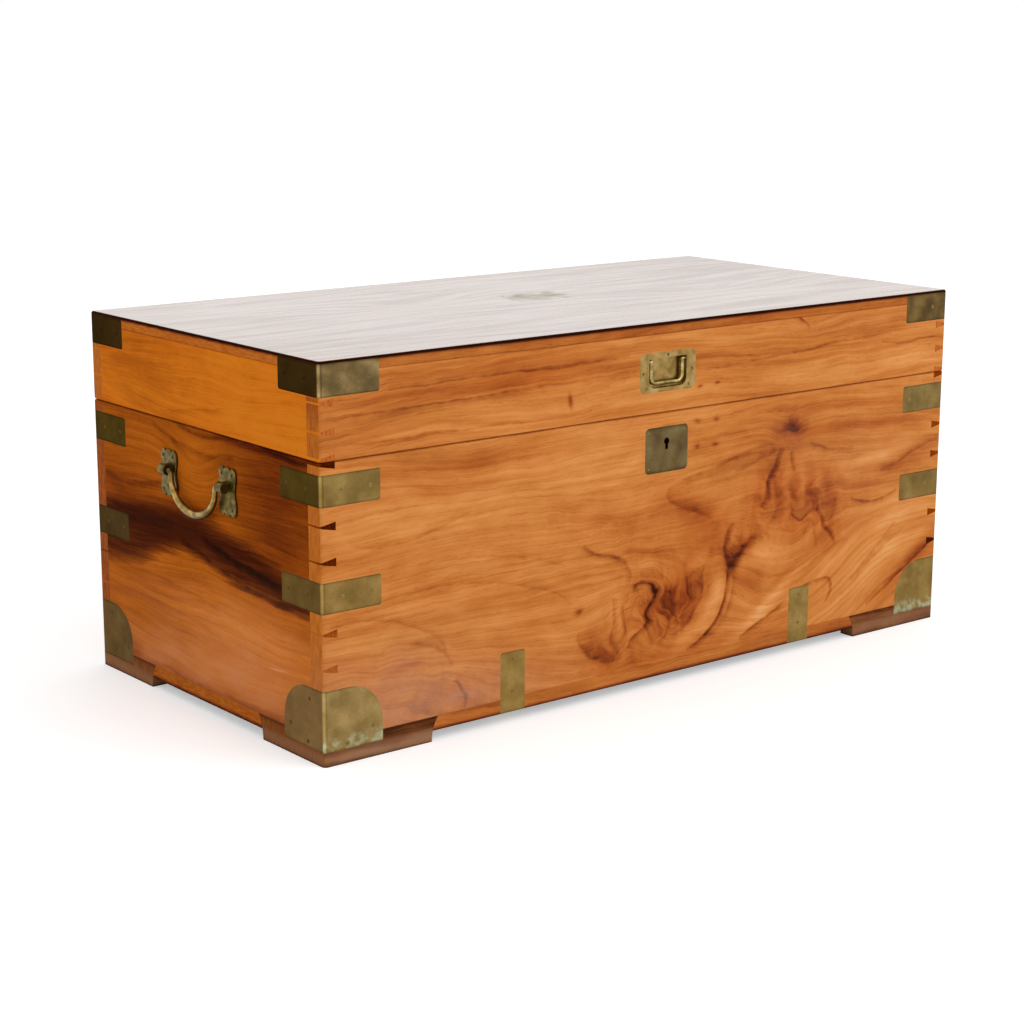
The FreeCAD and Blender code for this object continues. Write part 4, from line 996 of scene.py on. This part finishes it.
LEFT_VEINS = (
    Vein(((0, 218), (-50, 207), (-100, 200), (-150, 194), (-200, 190)), 0.26, 5.0, 9),
    Vein(((50, 206), (0, 195), (-50, 185), (-110, 176), (-200, 170)), 0.18, 5.0, 9),
    Vein(((250, 206), (190, 210), (130, 216), (60, 222)), 0.12, 5.0, 14),
    Vein(((250, 260), (180, 256), (120, 262), (60, 272)), 0.12, 5.0, 14),
    # A dark line just under the seam: heartwood, and a painted shadow under the lid's edge.
    Vein(((60, 348), (0, 339), (-60, 345), (-120, 347)), 0.14, 3.6, -8),
    Vein(((110, 340), (40, 322), (-20, 318), (-80, 326)), 0.12, 4.0, 9),
    Vein(((200, 140), (100, 148), (0, 140), (-120, 128), (-230, 118)), 0.08, 3.0, 12),
    Vein(((240, 112), (140, 116), (40, 112), (-60, 98)), 0.08, 3.0, 12),
)
RIGHT_BAND = Heartwood(
    lower=((-255, 96), (-120, 104), (0, 122), (120, 118), (255, 100)),
    upper=((-255, 132), (-120, 150), (0, 176), (120, 160), (255, 140)),
    depth=0.3,
)
RIGHT_SWELLS = (
    Swell((-70, 236), (26, 20), -0.28, 0.5, lift=34, stir=8),
    Swell((90, 60), (150, 44), pale=0.5),
    Swell((-60, 50), (120, 40), pale=0.4),
)
RIGHT_VEINS = (
    Vein(((-80, 224), (-96, 200), (-90, 178), (-104, 160)), 0.26, 2.6, 10),
    Vein(((-46, 236), (0, 228), (70, 232), (160, 222)), 0.18, 2.2, -10),
)
BACK_SWELLS = (
    Swell((-190, 150), (24, 20), -0.32, 0.5, lift=34, stir=10),
    Swell((-180, 140), (80, 60), -0.08, 0.5, lift=34),
    Swell((240, 230), (120, 50), -0.08, 0.4, lift=50, stir=6),
    Swell((60, 50), (260, 40), pale=0.45),
)
BACK_VEINS = (
    Vein(((-176, 138), (-150, 112), (-110, 100), (-60, 96)), 0.26, 2.4, 12),
    Vein(((-215, 150), (-270, 168), (-340, 170), (-420, 160)), 0.2, 2.2, -12),
    Vein(((120, 250), (190, 268), (270, 262), (330, 236), (350, 210)), 0.18, 2.2, -12),
)
LID_FRONT_SWELLS = (
    Swell((-270, 409), (250, 11), -0.17, 0.7),
    Swell((-330, 432), (160, 6), -0.1, 0.4),
    Swell((-155, 378), (3.4, 9), -0.34, turn=12),
    Swell((250, 432), (60, 20), lift=12),
    Swell((120, 370), (190, 12), 0.09),
    Swell((-300, 372), (190, 9), 0.06),
    Swell((330, 366), (150, 8), 0.07),
    Swell((250, 395), (170, 9), -0.06, 0.3),
    Swell((330, 430), (140, 9), -0.05, 0.2, pale=0.08),
    *(Swell(at, (4.4, 2.4), -0.3) for at in ((53, 373), (82, 375))),
)
LID_FRONT_VEINS = (
    Vein(((150, 450), (188, 455), (214, 450), (232, 441), (246, 429)), 0.32, 2.2, -6),
    Vein(((-508, 398), (-360, 396), (-220, 399), (-60, 402)), 0.2, 2.6, -12),
    Vein(((-420, 418), (-300, 420), (-180, 419), (-60, 421)), 0.18, 2.4, 8),
    Vein(((380, 398), (430, 392), (470, 396), (508, 392)), 0.2, 2.0, 8),
    Vein(((-480, 364), (-380, 361), (-250, 360), (-120, 362)), 0.16, 2.0, 5),
    Vein(((60, 392), (160, 398), (280, 404), (400, 410)), 0.14, 2.4, 9),
)
FOOT_SWELLS = (
    Swell((-400, 7), (170, 8), 0.06, pale=0.7),
    Swell((-440, 22), (40, 8), -0.12),
    Swell((-375, 25), (26, 5), -0.1),
    Swell((410, 10), (120, 10), 0.04, pale=0.5),
)
TOP_SWELLS = (
    Swell((-170, 60), (120, 40), lift=50),
    Swell((260, -60), (150, 60), lift=60),
)
LID_SIDE_SWELLS = (Swell((150, 400), (140, 90), -0.11),)
LID_LEFT_VEINS = (Vein(((110, 352), (40, 362), (-20, 372), (-100, 388)), 0.07, 2.0, 10),)

# ---- Sub-assemblies ------------------------------------------------------------------------

CASE_END_SHADES = ("#260C02", "#4A1A04", "#7A380A", "#AE580E", "#D6781E", "#E89A50")
LID_END_SHADES = (*CASE_END_SHADES[:4], "#DE7A1A", "#E8902A")


@dataclass
class LowerBox:
    """The case: four dovetailed boards, the bottom planks and the bracket feet.

    Its sizes are heights in millimetres.
    """

    seam: float = 347.0
    underside: float = 13.0
    foot_top: float = 30.0

    def woods(self) -> dict[str, Camphor]:
        """The wood of each node but the feet.

        Returns:
            The woods by node.
        """
        dark_edges = (DarkLine(self.seam, 1.1, 0.24), DarkLine(self.foot_top, 1.2, 0.14))
        end = Camphor(
            "", Cut.CROSSWISE, dark_lines=dark_edges, end_tone=-0.16, palette=CASE_END_SHADES, sheen=0.004
        )
        return {
            "front_board": Camphor(
                "camphor_front_sawn_waxed", Cut.LENGTHWISE, 0.0, FRONT_SWELLS, FRONT_VEINS,
                dark_lines=dark_edges, tone=0.67, streak=0.13, blotch=0.12, end_tone=-0.08, ruddy=0.30,
            ),
            "back_board": Camphor(
                "camphor_back_sawn_waxed", Cut.LENGTHWISE, 17.0, BACK_SWELLS, BACK_VEINS,
                dark_lines=dark_edges, tone=0.60, end_tone=-0.18,
            ),
            "left_end_board": replace(
                end, name="camphor_left_end_sawn_waxed", seed=4.0, swells=LEFT_SWELLS,
                veins=LEFT_VEINS, heartwood=(LEFT_BAND,), tone=0.63, broad=0.10, streak=0.10,
                blotch=0.06, ruddy=0.15, haze="#DA9062", ragged=30,
            ),
            "right_end_board": replace(
                end, name="camphor_right_end_sawn_waxed", seed=9.0, swells=RIGHT_SWELLS,
                veins=RIGHT_VEINS, heartwood=(RIGHT_BAND,), tone=0.62, broad=0.16,
            ),
            "bottom_boards": Camphor(
                "camphor_bottom_sawn_bare", Cut.FLAT, 23.0,
                dark_lines=(DarkLine(self.underside, 3.2, 0.45),), tone=0.58, roughness=0.6,
            ),
        }

    def make(self) -> None:
        """Dress every wooden node of the case."""
        for node, wood in self.woods().items():
            dress(node, wood.make())
        foot = Camphor(
            "hardwood_foot_sawn_stained", Cut.LENGTHWISE, 31.0, FOOT_SWELLS,
            dark_lines=(DarkLine(0.0, 2.0, 0.4), DarkLine(self.foot_top, 3.0, 0.2)),
            tone=0.48, broad=0.2, streak=0.2, blotch=0.2, end_tone=0.0,
            palette=("#180A05", "#42200F", "#75401C", "#98602F", "#B07A48", "#C49464"),
            haze="#A28168",
        ).make()
        for front in ("front", "back"):
            for side in ("left", "right"):
                dress(f"{front}_{side}_foot", foot)


@dataclass
class Lid:
    """The lid: four rails, the top board and the plaque let into it.

    Its sizes are heights in millimetres.
    """

    height: float = 458.0
    bottom: float = 347.6
    rail_top: float = 444.0

    def woods(self) -> dict[str, Camphor]:
        """The wood of each node.

        Returns:
            The woods by node.
        """
        joint = DarkLine(self.rail_top, 0.8, 0.16)
        dark_edges = (DarkLine(self.bottom, 0.9, 0.20), joint)
        side = Camphor(
            "camphor_lid_right_sawn_waxed", Cut.CROSSWISE, 53.0, LID_SIDE_SWELLS, dark_lines=dark_edges,
            tone=0.83, broad=0.09, streak=0.05, blotch=0.09, end_tone=-0.16,
            palette=LID_END_SHADES, ruddy=0.24, sheen=0.004, end_tint=(0.96, 0.95, 0.5),
            end_lift=(0.0, 0.008, 0.022),
        )
        return {
            "lid_front_rail": Camphor(
                "camphor_lid_front_sawn_waxed", Cut.LENGTHWISE, 2.0, LID_FRONT_SWELLS,
                LID_FRONT_VEINS, dark_lines=dark_edges, tone=0.66, broad=0.24, streak=0.19, end_tone=-0.10,
            ),
            "lid_back_rail": Camphor(
                "camphor_lid_back_sawn_waxed", Cut.LENGTHWISE, 41.0, dark_lines=dark_edges, tone=0.62,
                broad=0.18,
            ),
            "lid_left_rail": replace(
                side, name="camphor_lid_left_sawn_waxed", seed=47.0, veins=LID_LEFT_VEINS
            ),
            "lid_right_rail": side,
            # The top's colour is turned toward the grey of its glare, a painted reflection.
            "lid_top_board": Camphor(
                "camphor_top_sawn_polished", Cut.FLAT, 59.0, TOP_SWELLS,
                dark_lines=(DarkLine(self.height - 1.0, 2.6, 0.75), joint), tone=0.52, broad=0.10,
                streak=0.07, end_tone=0.10, roughness=0.36, sheen=0.004,
                end_tint=(1.0, 0.84, 0.50), polish=0.78, above=(0.43, 0.67, 1.4),
            ),
        }

    def make(self) -> None:
        """Dress every node of the lid but its binding."""
        for node, wood in self.woods().items():
            dress(node, wood.make())
        plaque = Brass(
            "brass_plaque_rolled_tarnished", "#8E887A", "#A8A294", "#B8B2A4", roughness=0.45,
            seed=5.0,
        )
        dress("lid_plaque", plaque.make())


@dataclass
class Binding:
    """The let-in brass straps and corners with their screws and nails."""

    corners: tuple[str, ...] = ("front_left", "front_right", "back_left", "back_right")

    def finishes(self) -> dict[str, Brass]:
        """One finish for each kind of strap: the higher ones get darker painted shade on the
        chest's ends.

        Returns:
            The finishes by kind.
        """
        return {
            "lid_strap": Brass(
                "brass_lid_strap_rolled_darkened", "#54462C", "#6C5836", "#8E784E",
                end_shade="#3E2C11", arris=0.75, rims=(418.5, 455.0), seed=3.0,
            ),
            "upper_strap": Brass(
                "brass_upper_strap_rolled_tarnished", "#6A562C", "#796234", "#8A7340",
                end_shade="#534118", arris=0.55, rims=(297.0, 333.0),
            ),
            "lower_strap": Brass(
                "brass_lower_strap_rolled_tarnished", "#70592B", "#806635", "#907544",
                end_shade="#6E562C", arris=0.45, rims=(176.5, 212.5), seed=6.5,
            ),
            "bottom_corner": Brass(
                "brass_corner_rolled_tarnished", "#7A6437", "#8E7747", "#A08A58",
                end_shade="#84663E", arris=0.40, rims=(17.0, 88.5), bloom=0.6, seed=9.0,
            ),
            "bottom_strap": Brass(
                "brass_bottom_strap_rolled_tarnished", "#786130", "#886F39", "#98804A",
                rims=(13.0, 87.5), seed=14.0,
            ),
        }

    def changes(self) -> dict[str, dict[str, str]]:
        """What differs at one corner: browner at the right, and darker painted shade at the far
        left.

        Returns:
            The changed fields by node.
        """
        return {
            "lid_strap_front_right": {"dark": "#46361B", "middle": "#5A4521", "bright": "#775E33"},
            "lower_strap_front_right": {
                "dark": "#6A5428", "middle": "#7A602F", "bright": "#8A6F3C"
            },
            "bottom_corner_front_right": {
                "dark": "#6E5625", "middle": "#816732", "bright": "#92783F"
            },
            "lower_strap_back_left": {"end_shade": "#523F21"},
            "bottom_corner_back_left": {"end_shade": "#725934"},
        }

    def make(self) -> None:
        """Dress the binding and its fixings."""
        changes = self.changes()
        for kind, finish in self.finishes().items():
            shared = finish.make()
            for corner in self.corners:
                node, material = f"{kind}_{corner}", shared
                if node in changes:
                    name = f"{finish.name}_{corner}"
                    material = replace(finish, name=name, **changes[node]).make()
                dress(node, material)
        # The screws get the same painted shade on the chest's ends as the straps.
        screws = Brass(
            "brass_screws_turned_grimy", "#705A30", "#806A3B", "#8E7848", end_shade="#6A5129",
            cloud=9.0,
        ).make()
        lid_screws = Brass(
            "brass_lid_screws_turned_grimy", "#564830", "#6A583A", "#84704C", end_shade="#36260F",
            cloud=9.0,
        ).make()
        for node in ("case_strap_screws", "case_fitting_screws"):
            dress(node, screws)
        dress("lid_screws", lid_screws)
        nails = Iron("iron_nails_forged_rusted").make()
        for node in ("bottom_nails", "lid_nails"):
            dress(node, nails)


@dataclass
class Fittings:
    """The lock, hinges and handles."""

    sides: tuple[str, ...] = ("left", "right")

    def finishes(self) -> dict[tuple[str, ...], Brass | Iron]:
        """Each finish by the nodes that share it.

        Returns:
            The finishes.
        """
        lock = tuple(f"lock_{piece}" for piece in ("case", "cap", "spring", "bolt"))
        leaves = tuple(f"{s}_hinge_{leaf}_leaf" for s in self.sides for leaf in ("case", "lid"))
        plates = tuple(f"{s}_handle_{end}_plate" for s in self.sides for end in ("front", "back"))
        return {
            ("escutcheon",): Brass(
                "brass_escutcheon_rolled_tarnished", "#524028", "#635131", "#716440",
                rims=(272.5, 329.5), rim_reach=3.0, seed=8.0,
            ),
            lock: Iron("iron_lock_forged_filed"),
            ("link_plate", "hinge_pins", *leaves): Brass("brass_hinge_rolled_tarnished", seed=12.0),
            # The handles get painted light on their tops and painted shade on their undersides.
            tuple(f"{side}_handle_bail" for side in self.sides): Brass(
                "brass_handle_cast_rubbed", "#4A3A1C", "#766030", "#AA8E54", painted_shading=0.55,
                roughness=0.28, cloud=12.0,
            ),
            plates: Brass(
                "brass_plate_cast_tarnished", "#3A3214", "#5C4E20", "#7E6C34", painted_shading=0.30,
                roughness=0.38, cloud=8.0, seed=2.0,
            ),
            ("flush_handle_plate",): Brass(
                "brass_flush_plate_cast_rubbed", "#826A37", "#A18249", "#B69C68", painted_shading=0.45,
                roughness=0.34, cloud=12.0, seed=6.0,
            ),
            ("flush_handle_bail",): Brass(
                "brass_flush_bail_cast_rubbed", "#70602F", "#9A864E", "#C6B484", painted_shading=0.60,
                roughness=0.28, cloud=9.0, seed=7.0,
            ),
        }

    def make(self) -> None:
        """Dress the lock, the hinges and the handles."""
        for nodes, finish in self.finishes().items():
            material = finish.make()
            for node in nodes:
                dress(node, material)


# ---- Studio --------------------------------------------------------------------------------


@dataclass
class Studio:
    """White floor, white surroundings and soft lamps, in metres and watts."""

    floor_half: float = 40.0
    paper: float = 0.86
    glow: float = 0.40
    ambient: float = 0.78
    aim: Triple = (0.0, 0.0, 0.25)
    key_at: Triple = (0.9, -3.2, 2.6)
    key_size: Point = (2.6, 2.0)
    key_watts: float = 42.0
    back_at: Triple = (2.6, 3.1, 1.6)
    back_size: Point = (3.4, 1.5)
    back_watts: float = 13.0

    def make(self) -> None:
        """Build the floor, the world and the lamps."""
        self._floor()
        self._world()
        self._lamp("key", self.key_at, self.key_size, self.key_watts)
        self._lamp("back", self.back_at, self.back_size, self.back_watts)

    def _floor(self) -> None:
        """Lay matt paper, of which the eye gets plain white and the object's soft shadow."""
        half = self.floor_half
        corners = [(-half, -half, 0), (half, -half, 0), (half, half, 0), (-half, half, 0)]
        mesh = bpy.data.meshes.new("floor")
        mesh.from_pydata(corners, [], [(0, 1, 2, 3)])
        floor = bpy.data.objects.new("floor", mesh)
        bpy.context.scene.collection.objects.link(floor)
        material, add = new_material("paper_floor_rolled_matt")
        colour = (self.paper, self.paper, self.paper, 1.0)
        matt = add(
            "BsdfPrincipled", {"Base Color": colour, "Roughness": 0.9, "Specular IOR Level": 0.1}
        )
        glow = add("Emission", WHITE, self.glow)
        dark = add("Emission", (0.0, 0.0, 0.0, 1.0), 0.0)
        extra = add("MixShader", self._seen_rays(add), dark, glow)
        add("OutputMaterial", add("AddShader", matt, extra))
        mesh.materials.append(material)

    def _seen_rays(self, add: Adder) -> Node:
        """A value that is 1 for the rays that show the background.

        Args:
            add: What adds a node to the tree that uses it.

        Returns:
            The node with that value.
        """
        rays = add("LightPath").outputs
        some = add("Math ADD", rays["Is Camera Ray"], rays["Is Glossy Ray"])
        return add("Math ADD", some, rays["Is Transmission Ray"], use_clamp=True)

    def _world(self) -> None:
        """Surround the object with white that lights it plainly."""
        world = bpy.data.worlds.new("white_studio")
        bpy.context.scene.world = world
        world.use_nodes = True
        world.node_tree.nodes.clear()
        add = partial(add_node, world.node_tree)
        strength = add("MapRange", self._seen_rays(add), 0.0, 1.0, self.ambient, 1.0)
        add("OutputWorld", add("Background", WHITE, strength))

    def _lamp(self, name: str, at: Triple, size: Point, watts: float) -> None:
        """Hang one soft lamp that looks at the object.

        Args:
            name: The lamp's name.
            at: Its place in metres.
            size: Its width and height in metres.
            watts: Its power.
        """
        data = bpy.data.lights.new(name, "AREA")
        data.shape = "RECTANGLE"
        data.size, data.size_y = size
        data.energy = watts
        lamp = bpy.data.objects.new(name, data)
        lamp.location = at
        way = Vector(self.aim) - Vector(at)
        lamp.rotation_euler = way.to_track_quat("-Z", "Y").to_euler()
        lamp.visible_camera = False
        bpy.context.scene.collection.objects.link(lamp)


@dataclass
class Viewpoint:
    """The camera's place and turn, solved from the object's corners."""

    at: Triple = (-1.80044, -2.20844, 0.83305)
    azimuth: float = -38.587
    elevation: float = 13.002
    roll: float = 0.181
    lens: float = 77.59
    sensor: float = 36.0

    def make(self) -> None:
        """Set up the camera."""
        azimuth, elevation, roll = map(math.radians, (self.azimuth, self.elevation, self.roll))
        flat = math.cos(elevation)
        back = Vector((math.sin(azimuth) * flat, -math.cos(azimuth) * flat, math.sin(elevation)))
        level = Vector((0, 0, 1)).cross(back).normalized()
        upright = back.cross(level)
        right = math.cos(roll) * level + math.sin(roll) * upright
        up = -math.sin(roll) * level + math.cos(roll) * upright
        data = bpy.data.cameras.new("camera")
        data.lens, data.sensor_width = self.lens, self.sensor
        camera = bpy.data.objects.new("camera", data)
        turn = Matrix((right, up, back)).transposed()
        camera.matrix_world = Matrix.Translation(self.at) @ turn.to_4x4()
        bpy.context.scene.collection.objects.link(camera)
        bpy.context.scene.camera = camera


def main() -> None:
    """Dress the chest, light it and set the camera."""
    bpy.context.scene.view_settings.view_transform = "Standard"
    for part in (Viewpoint(), Studio(), LowerBox(), Lid(), Binding(), Fittings()):
        part.make()


if __name__ == "__main__":
    main()
